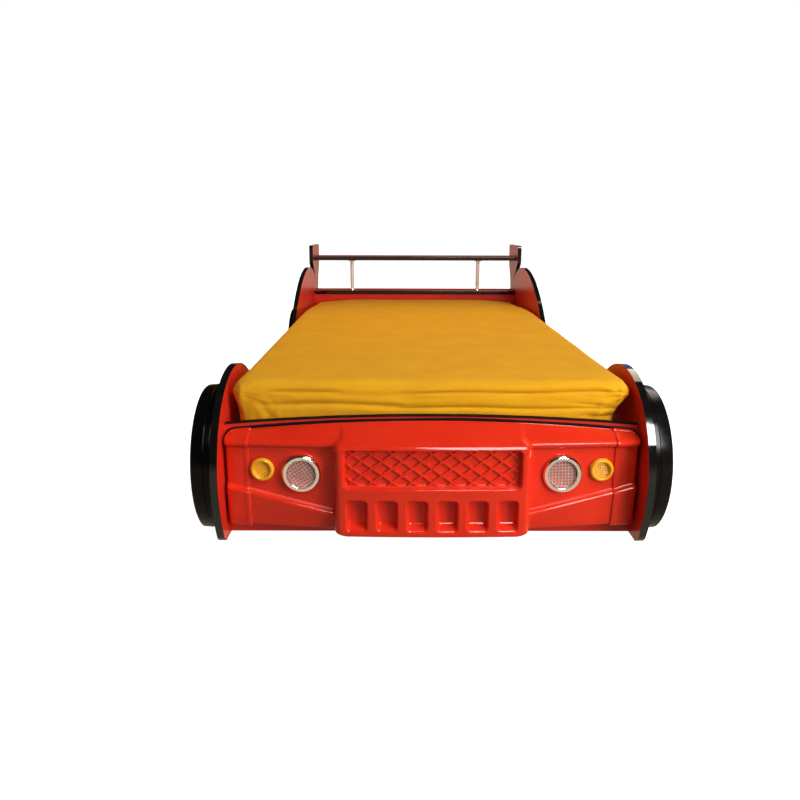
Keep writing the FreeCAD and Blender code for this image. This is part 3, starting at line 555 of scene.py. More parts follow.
def shell_piece(name, outer, inner, slot, gone=(), joined_sides=("near", "far", "low", "high"), flip=False):
    """A moulded shell. The inner grid has every second row and column of the outer one. Borders in
    joined_sides go back to a rim against the gasket; the other borders and the holes join the two grids."""
    n, m = outer.shape[:2]
    half_m = inner.shape[1]
    first_inner = n * m
    rim_start = first_inner + inner.shape[0] * half_m
    blocks = np.ones(((n - 1) // 2, (m - 1) // 2), bool)
    for i, j in gone:
        blocks[i // 2, j // 2] = False
    points = list(outer.reshape(-1, 3)) + list(inner.reshape(-1, 3))
    faces, rim = [], {}

    def fine(i, j):
        return i * m + j

    def coarse(i, j):
        return first_inner + (i // 2) * half_m + j // 2

    def rim_point(kind, i, j):
        key = (kind, i, j)
        if key not in rim:
            x, _, z = (outer[i, j] if kind == "outer" else inner[i // 2, j // 2])
            rim[key] = rim_start + len(rim)
            points.append((x, FRONT - BUMPER_BACK, z))
        return rim[key]

    def close(a, b, c, side):
        """Joins the outer edge a-b-c to the inner edge a-c."""
        if side not in joined_sides:
            faces.append((fine(*c), fine(*b), fine(*a), coarse(*a), coarse(*c)))
            return
        ra, rb, rc = [rim_point("outer", *p) for p in (a, b, c)]
        ia, ic = rim_point("inner", *a), rim_point("inner", *c)
        faces.extend([(fine(*b), fine(*a), ra, rb), (fine(*c), fine(*b), rb, rc), (rc, rb, ra, ia, ic),
                      (ic, ia, coarse(*a), coarse(*c))])

    ends = {(0, 0): "near low", (0, m - 1): "near high", (n - 1, 0): "far low", (n - 1, m - 1): "far high"}
    for bi in range(blocks.shape[0]):
        for bj in range(blocks.shape[1]):
            if not blocks[bi, bj]:
                continue
            i, j = 2 * bi, 2 * bj
            for p in (i, i + 1):
                for q in (j, j + 1):
                    faces.append((fine(p, q), fine(p + 1, q), fine(p + 1, q + 1), fine(p, q + 1)))
            faces.append((coarse(i, j + 2), coarse(i + 2, j + 2), coarse(i + 2, j), coarse(i, j)))
            edges = (("low", bi, bj - 1, (i, j), (i + 1, j), (i + 2, j)),
                     ("far", bi + 1, bj, (i + 2, j), (i + 2, j + 1), (i + 2, j + 2)),
                     ("high", bi, bj + 1, (i + 2, j + 2), (i + 1, j + 2), (i, j + 2)),
                     ("near", bi - 1, bj, (i, j + 2), (i, j + 1), (i, j)))
            for side, ni, nj, p, q, r in edges:
                if 0 <= ni < blocks.shape[0] and 0 <= nj < blocks.shape[1]:
                    if not blocks[ni, nj]:
                        close(p, q, r, "hole")
                else:
                    close(p, q, r, side)
    for (i, j), word in ends.items():
        across, up = word.split()
        if across not in joined_sides and up in joined_sides:
            corner = [fine(i, j), coarse(i, j), rim_point("inner", i, j), rim_point("outer", i, j)]
            faces.append(tuple(corner if (across == "near") == (up == "low") else corner[::-1]))
    if flip:
        faces = [face[::-1] for face in faces]
    return new_piece(name, points, faces, slot)


def stack(x, out, z):
    return np.stack([x, FRONT - out, z], -1)


def thinned(out, reach):
    """The lowest of each point's neighbours, so that the inner face clears the outer one by a full wall."""
    result = out.copy()
    for di in range(-reach, reach + 1):
        for dj in range(-reach, reach + 1):
            moved = np.roll(np.roll(out, di, 0), dj, 1)
            result = np.minimum(result, moved)
    return result


def lamp_gaps(x, z):
    """Grid cells inside the lamps' mounting holes."""
    centre_x, centre_z = (x[:-1, :-1] + x[1:, 1:]) / 2, (z[:-1, :-1] + z[1:, 1:]) / 2
    holes = []
    for side in (-1, 1):
        for place_x, place_z, radius in ((HEADLAMP_X, HEADLAMP_Z, HEADLAMP_RADIUS - 5),
                                         (INDICATOR_X, INDICATOR_Z, INDICATOR_RADIUS - 4)):
            inside = np.hypot(centre_x - side * place_x, centre_z - place_z) < radius
            holes += list(zip(*np.nonzero(inside)))
    return holes


def add_bumper():
    fine_x, fine_v = np.linspace(-BUMPER_HALF, BUMPER_HALF, 600), np.linspace(0, 1, 200)
    x, v = np.meshgrid(fine_x, fine_v, indexing="ij")
    out = bumper_out(x, bumper_rows(x, v))
    steep_x = np.percentile(np.abs(np.gradient(out, fine_x, axis=0)), 80, axis=1)
    steep_z = np.percentile(np.abs(np.gradient(out, fine_v * (HOOD_TOP - FRAME_LOW), axis=1)), 80, axis=0)
    xs = spread(-BUMPER_HALF, BUMPER_HALF, COLUMNS, steep_x)
    vs = spread(0, 1, ROWS, steep_z)
    x, v = np.meshgrid(xs, vs, indexing="ij")
    z = bumper_rows(x, v)
    rounded = full = bumper_out(x, z)
    for distance in (z - apron_bottom(x), hood_top(x) - z):
        rounded = rounded - edge_rounding(distance, SHELL_EDGE)
    outer = stack(x, np.maximum(rounded, BUMPER_BACK + 0.8), z)
    low = thinned(full, 3)[::2, ::2] - SKIN
    inner_z = bumper_rows(x, v, -SKIN)[::2, ::2]
    inner_x = x[::2, ::2] * (BUMPER_HALF - SKIN) / BUMPER_HALF
    inner = stack(inner_x, np.maximum(low, BUMPER_BACK + 0.2), inner_z)
    piece = shell_piece("bumper_moulding", outer, inner, "red_plastic", lamp_gaps(x, z))
    # How dull each point is: the hollows beside the grille frame and along the foot of the ribs.
    hollow = full - bumper_out(x, z, 0)
    beside = (np.abs(x) > FRAME_HALF + 6) & (z < PANEL_TOP_Z - 12) & (z > CREST_LOW_Z)
    beside |= (np.abs(x) < MESH_HALF + 2) & (np.abs(z - MESH_LOW - 4) < 6)
    dull = np.zeros(len(piece.data.vertices))
    dull[:x.size] = (0.5 * np.clip(hollow / 0.05, 0, 1) * beside).ravel()
    piece.data.attributes.new("dull", "FLOAT", "POINT").data.foreach_set("value", dull)
    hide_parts("bumper_shell")


def add_mesh_ribs():
    """Crossing ribs on the floor of the upper recess, each a long bar with a rounded back."""
    angle = math.radians(RIB_ANGLE)
    middle = (MESH_LOW + MESH_HIGH) / 2
    foot, back = RIB_WIDTH / 2 + 0.5, RIB_WIDTH / 2 - 0.4
    section = rounded_path([(-foot, -1.0, 0), (foot, -1.0, 0),
                            (back, RIB_HEIGHT, 0.8), (-back, RIB_HEIGHT, 0.8)], 4)
    count, steps, margin = len(section), 24, 1.0
    points, faces = [], []
    for side in (-1, 1):
        normal = side * math.sin(angle), math.cos(angle)
        for line in range(-RIB_LINES, RIB_LINES + 1):
            heights = np.linspace(MESH_LOW + margin, MESH_HIGH - margin, 200)
            xs = line * RIB_PITCH - side * (heights - middle) / math.tan(angle)
            inside = np.abs(xs) < MESH_HALF - margin
            if inside.sum() < 12:
                continue
            low, high = heights[inside][0], heights[inside][-1]
            first = len(points)
            for z in np.linspace(low, high, steps):
                x = line * RIB_PITCH - side * (z - middle) / math.tan(angle)
                floor = FRAME_OUT - FRAME_BOW * (x / FRAME_HALF) ** 2 - MESH_DEPTH
                end = min(z - low, high - z)
                sink = (RIB_HEIGHT - 0.5) * (1 - smooth_step(0, 5, end))
                for across, rise in section:
                    lift = rise - sink * (rise > 0)
                    points.append((x + normal[0] * across, FRONT - floor - lift, z + normal[1] * across))
            bar = ring_faces(steps, count, first)
            bar += [tuple(range(first, first + count))[::-1],
                    tuple(range(first + (steps - 1) * count, first + steps * count))]
            faces += bar if side < 0 else [face[::-1] for face in bar]
    piece = new_piece("bumper_mesh_ribs", points, faces, "red_plastic")
    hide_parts("bumper_shell")


def add_end_cap(side, word):
    """A sleeve over the bumper's end, with a soft bead along its inboard edge."""
    xs = np.concatenate([np.linspace(CAP_START, CAP_START + CAP_BEAD, 13)[:-1],
                         np.linspace(CAP_START + CAP_BEAD, CAP_END - CAP_ROUND, 14)[:-1],
                         CAP_END - CAP_ROUND + CAP_ROUND * np.sin(np.linspace(0, math.pi / 2, 8))])
    vs = np.linspace(0, 1, ROWS)
    x, v = np.meshgrid(xs, vs, indexing="ij")
    z = bumper_rows(x, v, CAP_PROUD)
    bead = np.sin(np.clip((x - CAP_START) / CAP_BEAD, 0, 1) * math.pi) ** 2 * 0.7
    crest = smooth_step(0, 2.0, x - CAP_START + 0.8)
    low = np.clip(z, apron_bottom(x) + 0.5, hood_top(x) - 0.5)
    under = bumper_out(np.minimum(x, BUMPER_HALF), low)
    out = under + 0.4 + (CAP_PROUD - 0.4) * crest + bead
    for distance, radius in ((z - (apron_bottom(x) - CAP_PROUD), CAP_EDGE),
                             (hood_top(x) + CAP_PROUD - z, CAP_EDGE), (CAP_END - x, CAP_ROUND)):
        out = out - edge_rounding(distance, radius)
    outer = stack(side * x, np.maximum(out, BUMPER_BACK + 1), z)
    inner_x = np.minimum(x, BUMPER_HALF + 0.6)
    inner_z = bumper_rows(x, v, 0.5)
    reach = np.where(x > BUMPER_HALF, BUMPER_BACK + 0.3, under + 0.2)
    inner_out = np.minimum(reach, np.maximum(out - 0.3, BUMPER_BACK + 0.3))
    inner = stack(side * inner_x, inner_out, inner_z)[::2, ::2]
    piece = shell_piece("bumper_end_sleeve_" + word, outer, inner, "red_plastic", (),
                        ("low", "far", "high"), side < 0)
    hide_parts("bumper_end_cap_" + word)


def add_gasket():
    """The black rubber strip that shows as a line round the bumper's top edge."""
    half, radius = CAP_END + 1.6, CAP_CORNER
    top_end = HOOD_TOP - HOOD_DROP
    path = []
    for x in np.linspace(-half + radius, half - radius, 160):
        sway = 0.7 * math.sin(x / 47.0) * math.exp(-((x - 20) / 190) ** 2)
        path.append((x, HOOD_TOP - HOOD_DROP * (x / half) ** 2 + 2.2 + sway))
    low = LIP_Z - 10
    for side in (-1, 1):
        arc = []
        for angle in np.linspace(0, math.pi / 2, 10)[1:]:
            arc.append((side * (half - radius + radius * math.sin(angle)),
                        top_end + 2.4 - radius + radius * math.cos(angle)))
        arc.append((side * half, low))
        path = path + arc if side > 0 else arc[::-1] + path
    path = np.array(path)
    along = np.gradient(path, axis=0)
    along /= np.linalg.norm(along, axis=1, keepdims=True)
    across = np.stack([-along[:, 1], along[:, 0]], -1)
    bead = rounded_path([(-BEAD_IN, 0.1, 0.3), (BEAD_OUT, 0.1, 0.3),
                         (BEAD_OUT, BEAD_HEIGHT, 1.5), (-BEAD_IN, 2.2, 0.9)], 4)
    points = []
    for (x, z), (nx, nz) in zip(path, across):
        points += [(x + nx * a, FRONT - b, z + nz * a) for a, b in bead]
    count = len(bead)
    faces = ring_faces(len(path), count)
    faces += [tuple(range(count)), tuple(range(len(points) - 1, len(points) - count - 1, -1))]
    piece = new_piece("bumper_gasket", points, faces, "black_edging", look="matt_edging")
    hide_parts("bumper_trim")


# ---- Lamps --------------------------------------------------------------------------------------
def panel_out(x):
    return LIP_OUT - bow(x, LIP_BOW) - PANEL_IN


def placed(points, centre, axis):
    return turned(np.array(points), axis) + np.array(centre)


def lathe_piece(name, profile, segments, centre, axis, slot):
    """A closed ring turned from a closed profile of (radius, height) points."""
    rows = placed(lathe_rows(profile, segments), centre, axis)
    return new_piece(name, rows.reshape(-1, 3), ring_faces(len(profile), segments, closed=True), slot)


def disc_piece(name, radius, rings, segments, front, back, centre, axis, slot):
    """A round plate whose two faces are height functions of (x, y)."""
    radii = np.linspace(0, radius, rings + 1)[1:]
    angles = np.linspace(0, 2 * math.pi, segments, endpoint=False)
    r, a = np.meshgrid(radii, angles, indexing="ij")
    x, y = r * np.cos(a), r * np.sin(a)
    zero = np.array(0.0)
    points = [(0, 0, float(front(zero, zero)))] + list(np.stack([x, y, front(x, y)], -1).reshape(-1, 3))
    second = len(points)
    points += [(0, 0, float(back(zero, zero)))] + list(np.stack([x, y, back(x, y)], -1).reshape(-1, 3))
    faces = ring_faces(rings, segments, 1) + [face[::-1] for face in ring_faces(rings, segments, second + 1)]
    for j in range(segments):
        k = (j + 1) % segments
        faces += [(0, 1 + j, 1 + k), (second, second + 1 + k, second + 1 + j)]
        p, q = 1 + (rings - 1) * segments + j, 1 + (rings - 1) * segments + k
        faces.append((q, p, second + p, second + q))
    return new_piece(name, placed(points, centre, axis), faces, slot)


def pillows(pitch, height, turn):
    """Height of a grid of little square pillows, turned by an angle."""
    def rise(x, y):
        c, s = math.cos(turn), math.sin(turn)
        a, b = (c * x + s * y) / pitch, (-s * x + c * y) / pitch
        return height * np.abs(np.cos(math.pi * a) * np.cos(math.pi * b)) ** 0.6
    return rise


def lattice_piece(name, radius, pitch, bar, low, high, turn, centre, axis, slot, look):
    """A round lattice of square bars with open windows, as one closed mesh."""
    count = int(radius / pitch) + 1
    bars = np.arange(-count, count + 1) * pitch
    lines = np.sort(np.concatenate([bars + side * bar / 2 for side in (-1, 1)]))
    middle = (lines[:-1] + lines[1:]) / 2
    solid = np.diff(lines) < bar * 1.01
    kept = {(i, j) for i in range(len(middle)) for j in range(len(middle))
            if (solid[i] or solid[j]) and math.hypot(middle[i], middle[j]) < radius - bar / 2}
    c, s = math.cos(turn), math.sin(turn)
    index, points, faces = {}, [], []

    def corner(i, j, level):
        key = (i, j, level)
        if key not in index:
            index[key] = len(points)
            x, y = lines[i], lines[j]
            points.append((c * x - s * y, s * x + c * y, (low, high)[level]))
        return index[key]

    for i, j in kept:
        square = [(i, j), (i + 1, j), (i + 1, j + 1), (i, j + 1)]
        faces.append(tuple(corner(a, b, 1) for a, b in square))
        faces.append(tuple(corner(a, b, 0) for a, b in square[::-1]))
        for k, (di, dj) in enumerate(((0, -1), (1, 0), (0, 1), (-1, 0))):
            if (i + di, j + dj) not in kept:
                p, q = square[k], square[(k + 1) % 4]
                faces.append((corner(*p, 0), corner(*q, 0), corner(*q, 1), corner(*p, 1)))
    piece = new_piece(name, placed(points, centre, axis), faces, slot, look=look)
    piece.data.polygons.foreach_set("use_smooth", [False] * len(piece.data.polygons))
    return piece


def add_headlamp(side, word):
    centre = (side * HEADLAMP_X, FRONT - panel_out(HEADLAMP_X), HEADLAMP_Z)
    radius, bore = HEADLAMP_RADIUS, LENS_RADIUS
    rim = rounded_path([(radius, -0.5, 0), (radius, 6.0, 1.4), (radius - 3.0, 8.8, 0.7),
                        (bore + 0.9, 8.1, 0.8), (bore + 0.1, 5.4, 0.5), (bore + 0.1, -11, 0),
                        (radius - 6.5, -11, 0), (radius - 6.5, 0.3, 0)])
    bezel = lathe_piece("headlamp_ring_" + word, rim, 120, centre, "-y", "chrome")
    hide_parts("headlamp_bezel_" + word)
    turn = math.radians(2 if side > 0 else 33)
    dome = disc_piece("headlamp_glass_" + word, bore - 0.1, 24, 120,
                      lambda x, y: 5.6 - 1.4 * (np.hypot(x, y) / bore) ** 2,
                      lambda x, y: 4.4 - 1.4 * (np.hypot(x, y) / bore) ** 2, centre, "-y", "clear_lens")
    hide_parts("headlamp_lens_" + word)
    # The waffle's pink-red colour is painted light from the red cup behind the clear lens.
    waffle = lattice_piece("headlamp_waffle_" + word, bore - 0.3, WAFFLE_PITCH, WAFFLE_BAR, 1.2, 2.6, turn,
                           centre, "-y", "clear_lens", "frosted_lens_painted_red_light")
    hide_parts("headlamp_lens_" + word)
    bowl = rounded_path([(bore - 0.3, -3.6, 0), (bore - 0.3, 1.0, 0), (bore - 1.8, 1.0, 0.6),
                         (bore - 3.0, -0.8, 2), (7, -1.6, 3), (0.4, -1.8, 0), (0.4, -5, 0), (9, -5, 3)])
    cup = lathe_piece("headlamp_cup_" + word, bowl, 96, centre, "-y", "red_plastic")
    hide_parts("headlamp_reflector_" + word)


def add_indicator(side, word):
    centre = (side * INDICATOR_X, FRONT - panel_out(INDICATOR_X), INDICATOR_Z)
    radius, dimple = INDICATOR_RADIUS, DIMPLE_RADIUS
    dome = rounded_path([(radius, -1.0, 0), (radius, 4.6, 3.2), (radius - 3.2, 8.2, 2.2),
                         (dimple + 1.0, 7.6, 1.2), (dimple + 0.1, 2.0, 0.6), (dimple + 0.1, -9, 0),
                         (radius - 5.5, -9, 0), (radius - 5.5, 0.3, 0)])
    body = lathe_piece("indicator_body_" + word, dome, 96, centre, "-y", "amber_plastic")
    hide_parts("indicator_housing_" + word)
    facets = pillows(PILLOW_PITCH, PILLOW_HEIGHT, math.radians(6 if side > 0 else 40))
    lens = disc_piece("indicator_face_" + word, dimple, 30, 120,
                      lambda x, y: 1.6 + facets(x, y), lambda x, y: 0 * x - 0.8, centre, "-y",
                      "amber_plastic")
    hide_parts("indicator_lens_" + word)


# ---- Wheels -------------------------------------------------------------------------------------
WHEEL_RADIUS, SPACER, TYRE_WIDTH, RIM_RADIUS, HUB_DEPTH = 140, 12, 36, 82, 9
TYRE_WALL, BORE_RADIUS = 5, 14
SPOKES, HUB_FLOOR, BOLT_CIRCLE = 5, 3.6, 30


def wheel_centre(end):
    low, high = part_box(f"wheel_tyre_{end}_right")
    return (low.y + high.y) / 2 / MM, high.z / MM - WHEEL_RADIUS


def add_tyre(side, end, word):
    """A one-piece moulded tyre: stepped tread, rounded shoulder and a bead round the side wall."""
    y, z = wheel_centre(end)
    inner = PANEL_FACE + SPACER
    r, wide = WHEEL_RADIUS, TYRE_WIDTH
    section = rounded_path([(r - 1.2, 0.2, 2.0), (r - 1.2, 12.0, 0.8), (r, 12.8, 0.8),
                            (r - 1.6, wide - 1.6, 6.0), (r - 9, wide, 3.0), (r - 22, wide - 0.3, 1.2),
                            (r - 23.5, wide - 1.5, 0.8), (r - 27, wide - 1.5, 0.8),
                            (r - 28.5, wide - 0.3, 1.2), (RIM_RADIUS + 4, wide, 2.0),
                            (RIM_RADIUS, wide - 1.8, 1.8), (RIM_RADIUS, TYRE_WALL, 0.6),
                            (BORE_RADIUS, TYRE_WALL, 0), (BORE_RADIUS, 0.2, 0)])
    tyre = lathe_piece(f"tyre_{end}_{word}", section, 200, (side * inner, y, z), OUTWARD[side],
                       "black_plastic")
    flatten_tread(tyre.data, y, z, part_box(f"wheel_tyre_{end}_{word}")[0].z / MM)
    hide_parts(f"wheel_tyre_{end}_{word}")


def flatten_tread(mesh, y, z, floor):
    """Squeezes the side wall below the hub so that the tread is flat at the given height."""
    places = places_of(mesh)
    across, up = places[:, 1] - y, places[:, 2] - z
    r = np.hypot(across, up)
    limit = np.where(up < 0, (z - floor) / np.maximum(-up / np.maximum(r, 1e-6), 1e-6), WHEEL_RADIUS)
    share = (np.minimum(limit, WHEEL_RADIUS) - RIM_RADIUS) / (WHEEL_RADIUS - RIM_RADIUS)
    new_r = np.where(r > RIM_RADIUS, RIM_RADIUS + (r - RIM_RADIUS) * share, r)
    places[:, 1] = y + across / np.maximum(r, 1e-6) * new_r
    places[:, 2] = z + up / np.maximum(r, 1e-6) * new_r
    move_points(mesh, places)


def hub_front(x, y):
    """Five tapering twin-edged spokes between a boss and the rim, with a bolt head between each two."""
    r = np.hypot(x, y)
    angle = np.arctan2(x, y)
    step = 2 * math.pi / SPOKES
    off = (angle + step / 2) % step - step / 2
    across = np.abs(r * np.sin(off))
    half = 11.5 - 4.0 * smooth_step(18, RIM_RADIUS - 12, r)
    spoke = 1 - smooth_step(half - 1.6, half + 2.2, across)
    groove = (1 - smooth_step(1.2, 3.0, across)) * smooth_step(24, 30, r) * (1 - smooth_step(52, 60, r))
    ring = smooth_step(RIM_RADIUS - 13, RIM_RADIUS - 9, r)
    boss = 1 - smooth_step(19, 23, r)
    raised = np.maximum(np.maximum(spoke, ring), boss)
    dish = 3.2 * smooth_step(16, RIM_RADIUS - 14, r) * (1 - ring)
    height = HUB_FLOOR + (HUB_DEPTH - HUB_FLOOR) * raised - dish * raised - 1.2 * groove * spoke
    height = height - edge_rounding(RIM_RADIUS - 0.3 - r, 2.0) + 1.0 * (1 - smooth_step(8, 12, r)) * boss
    bolt_angle = (angle + step) % step - step / 2
    bolts = np.hypot(r * np.cos(bolt_angle) - BOLT_CIRCLE, r * np.sin(bolt_angle))
    return np.minimum(height + 2.2 * (1 - smooth_step(3.6, 4.6, bolts)), HUB_DEPTH - 0.05)


def add_hub_cap(side, end, word):
    y, z = wheel_centre(end)
    start = PANEL_FACE + SPACER + TYRE_WIDTH - HUB_DEPTH
    cap = disc_piece(f"hub_cap_{end}_{word}", RIM_RADIUS - 0.3, 70, 300, hub_front, lambda x, y: 0 * x + 0.1,
                     (side * start, y, z), OUTWARD[side], "grey_plastic")
    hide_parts(f"wheel_hub_cap_{end}_{word}")


def add_wheels():
    for side, word in SIDES:
        for end in ("front", "rear"):
            add_tyre(side, end, word)
            add_hub_cap(side, end, word)


# ---- Mattress and fitted sheet ------------------------------------------------------------------
MATTRESS_CORNER, MATTRESS_EDGE = 28, 9
FOOT_ROOM = 8                 # space at the foot end, between mattress and sheet, that its folds need
SHEET_HEM = 95                # how far the sheet turns in under the mattress
FLAT_MARGIN = 40              # width of the ring of cells between the flat top's grid and the mattress's edge
ACROSS, ALONG = 80, 100       # cells of the top's grid
TUCK_RIGHT, TUCK_LEFT = 18, 3 # how far the foot's lower corners are drawn in
CORNER_BULGE = 8.5            # how far its upper corners stand out
HEAD_SAG, CORNER_SAG = 15, 7  # how much lower the top is at the head, and further at its corners
FOLD_SLACK = 2.5              # room under the sheet for its folds
FOOT_SPARE, SIDE_SPARE, TOP_SPARE = 0.06, 0.04, 0.003   # share by which the cloth is cut too large
CREASES = (                   # (start, end, distance below the top, strength, drift, softness)
    (-90, 362, 22, 3.4, -3, 0), (-120, 352, 47, 2.8, 3, 0), (-345, -150, 15, 3.0, 7, 1.0),
    (-345, -40, 41, 2.6, 3, 1.5), (230, 372, 58, 3.0, 9, 0), (190, 330, 34, 2.2, 12, 0))
GATHERS = ((331, 26, 26, 2.6, 5), (-334, 18, 18, 1.8, 4))   # (across, below the top, reach, strength, count)


def mattress_box():
    low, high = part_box("fitted_sheet")
    return np.array(low) / MM, np.array(high) / MM


def outline_point(half_x, half_y, radius, share):
    """A point on a rounded rectangle: share runs 0 to 4, one unit from corner to corner."""
    side, t = int(share) % 4, share - int(share)
    straight = [2 * (half_x - radius), 2 * (half_y - radius)] * 2
    quarter = math.pi / 4 * radius
    length = straight[side] + 2 * quarter
    run = t * length
    half = [(half_x, half_y), (half_y, half_x)][side % 2]
    if run < quarter:
        angle = math.pi / 4 - run / radius if radius else 0
        a, b = -(half[0] - radius) - radius * math.sin(angle), half[1] - radius + radius * math.cos(angle)
    elif run > length - quarter:
        angle = (run - length + quarter) / radius if radius else 0
        a, b = half[0] - radius + radius * math.sin(angle), half[1] - radius + radius * math.cos(angle)
    else:
        a, b = run - quarter - (half[0] - radius), half[1]
    return [(a, -b), (b, a), (-a, b), (-b, -a)][side]


def wrapped_box(half, low, high, corner, edge, hem, rings):
    """Grid points of a soft box: its flat top, then rings that run out over the edge, down and in underneath.
    Returns the points, the faces, each point's ring's length past the top edge, and the last ring."""
    half_x, half_y = half
    inner_x, inner_y = half_x - FLAT_MARGIN, half_y - FLAT_MARGIN
    xs, ys = np.linspace(-inner_x, inner_x, ACROSS + 1), np.linspace(-inner_y, inner_y, ALONG + 1)
    points = [(x, y, high) for x in xs for y in ys]
    depth = [-FLAT_MARGIN] * len(points)
    column = ALONG + 1
    faces = [(i * column + j, (i + 1) * column + j, (i + 1) * column + j + 1, i * column + j + 1)
             for i in range(ACROSS) for j in range(ALONG)]
    loop = ([i * column for i in range(ACROSS)] + [ACROSS * column + j for j in range(ALONG)]
            + [i * column + ALONG for i in range(ACROSS, 0, -1)] + list(range(ALONG, 0, -1)))
    shares = [side + k / n for side, n in enumerate((ACROSS, ALONG, ACROSS, ALONG)) for k in range(n)]
    profile = soft_profile(high - low, edge, hem, rings)
    previous = loop
    for out, down, run in profile:
        first = len(points)
        rise = np.clip(-out / FLAT_MARGIN, 0, 1)
        radius = corner * (1 - rise) ** 0.5 if down < edge else max(corner + out, 1.0)
        for share in shares:
            x, y = outline_point(half_x + out, half_y + out, radius, share)
            points.append((x, y, high - down))
            depth.append(run)
        ring = list(range(first, first + len(loop)))
        for k in range(len(loop)):
            n = (k + 1) % len(loop)
            faces.append((previous[k], ring[k], ring[n], previous[n]))
        previous = ring
    return np.array(points), faces, np.array(depth, float), previous


def soft_profile(height, edge, hem, rings):
    """(offset from the outline, drop, length past the top edge) of each ring of the wrapped box."""
    steps = []
    for t in np.linspace(-FLAT_MARGIN, -edge, 5)[1:]:
        steps.append((t, 0, t))
    for angle in np.linspace(0, math.pi / 2, 4)[1:]:
        out, drop = -edge + edge * math.sin(angle), edge - edge * math.cos(angle)
        steps.append((out, drop, edge * (angle - math.pi / 2)))
    for drop in np.linspace(edge, height - edge, rings)[1:]:
        steps.append((0, drop, drop - edge))
    down = height - 2 * edge
    for angle in np.linspace(0, math.pi / 2, 4)[1:]:
        out, drop = -edge + edge * math.cos(angle), height - edge + edge * math.sin(angle)
        steps.append((out, drop, down + edge * angle))
    turn = down + edge * math.pi / 2
    for t in np.linspace(edge, hem, 8)[1:]:
        steps.append((-t, height, turn + t - edge))
    return steps


def crease(x, drop, start, end, at, strength, drift, soft):
    """One long crease across the foot end: a bulge above and below a pinched line, fading at both ends."""
    fade = smooth_step(start, start + 120, x) * (1 - smooth_step(end - 30, end, x))
    below = drop - at - drift * (x - start) / (end - start) - 1.2 * np.sin(x / 37.0 + at)
    return strength * fade * (0.75 * np.exp(-((below + 9) / 6.5) ** 2) - np.exp(-(below / (2.2 + soft)) ** 2)
                              + 0.5 * np.exp(-((below - 9) / 7.0) ** 2))


def gathers(x, drop, at_x, at_drop, reach, strength, count):
    """Fine creases that run together at one place."""
    across, down = x - at_x, drop - at_drop
    away = np.hypot(across, down)
    angle = np.arctan2(down, across)
    creases = np.cos(count * angle + 0.6 * np.sin(away / 7.0))
    return strength * creases * np.exp(-away / reach) * smooth_step(2, 9, away)


def foot_folds(x, drop):
    """How far the sheet's foot end stands out, by place across the bed and distance below its top."""
    return (sum(crease(x, drop, *row) for row in CREASES) + sum(gathers(x, drop, *row) for row in GATHERS)
            + 1.2 * np.sin(x / 71.0 + 1.0) * np.exp(-((drop - 30) / 26) ** 2)
            + 0.5 * np.sin(x / 9.0 + drop / 5.0) * smooth_step(250, 330, x) * smooth_step(12, 30, drop))


def top_ripples(x, y):
    """Shallow slack across the flat of the bed, strongest towards the foot and from the corners."""
    across = np.sin(y / 31.0 + 0.9 * np.sin(x / 83.0)) * (0.5 + 0.5 * np.sin(x / 140.0 + y / 210.0))
    fine = np.sin(y / 9.5 + 1.3 * np.sin(x / 47.0)) * np.sin(x / 120.0 + 0.7)
    slant = np.sin((x + 0.8 * y) / 24.0) * np.exp(-(np.abs(x) - 330) ** 2 / 90 ** 2)
    return 0.75 * across + 0.28 * fine + 0.35 * slant


def sheet_shapes(centre, half, low, high):
    """The sheet as first pulled over the mattress, and as cut, with more cloth than the mattress needs."""
    points, faces, run, hem = wrapped_box(half, low, high, MATTRESS_CORNER, MATTRESS_EDGE, SHEET_HEM, 26)
    side_run = np.clip(run, 0, high - low)
    foot = smooth_step(half[1] - 45, half[1] - 8, -points[:, 1])
    side = smooth_step(half[0] - 45, half[0] - 8, np.abs(points[:, 0])) * (1 - foot)
    cut = points.copy()
    cut[:, 2] -= side_run * (FOOT_SPARE * foot + SIDE_SPARE * side)
    cut[:, :2] *= 1 + TOP_SPARE
    for shape in (points, cut):
        shape[:, :2] += centre
    return points, cut, faces, hem


def corner_tuck(x, y, drop, half):
    """How far the foot end's lower corners are drawn in: more on the right, where the sheet is looser."""
    near_foot = smooth_step(half[1] - 150, half[1] - 20, -y)
    return (np.where(x > 0, TUCK_RIGHT, TUCK_LEFT) * smooth_step(18, 74, drop) * near_foot
            * smooth_step(half[0] - 110, half[0], np.abs(x)))


def corner_bulge(x, y, drop, half):
    """How far the foot end's corners stand out just below their top edge."""
    near_foot = smooth_step(half[1] - 120, half[1] - 10, -y)
    return (CORNER_BULGE * np.exp(-((drop - 26) / 20) ** 2) * near_foot
            * smooth_step(half[0] - 60, half[0] - 4, np.abs(x)))


def head_sag(x, y, half):
    """How much lower the bed's top is towards its head end, most at the corners."""
    along = smooth_step(0.25 * half[1], half[1], y)
    return HEAD_SAG * along ** 1.5 + CORNER_SAG * along * smooth_step(0.45 * half[0], half[0], np.abs(x)) ** 2


def settled_filling(places, centre, half, top, slack=0.0):
    """The bedding's points after its filling has settled; slack keeps what lies under the sheet clear of
    its folds."""
    x, y = places[:, 0] - centre[0], places[:, 1] - centre[1]
    drop = top - places[:, 2]
    tuck = corner_tuck(x, y, drop, half)
    moved = places.copy()
    moved[:, 0] -= np.sign(x) * (tuck - corner_bulge(x, y, drop, half) + slack * smooth_step(0, 4, tuck))
    moved[:, 1] += 0.25 * tuck + 2.5 * slack * smooth_step(half[1] - 60, half[1] - 16, -y)
    moved[:, 2] -= head_sag(x, y, half) * (1 - smooth_step(60, 110, drop))
    return moved


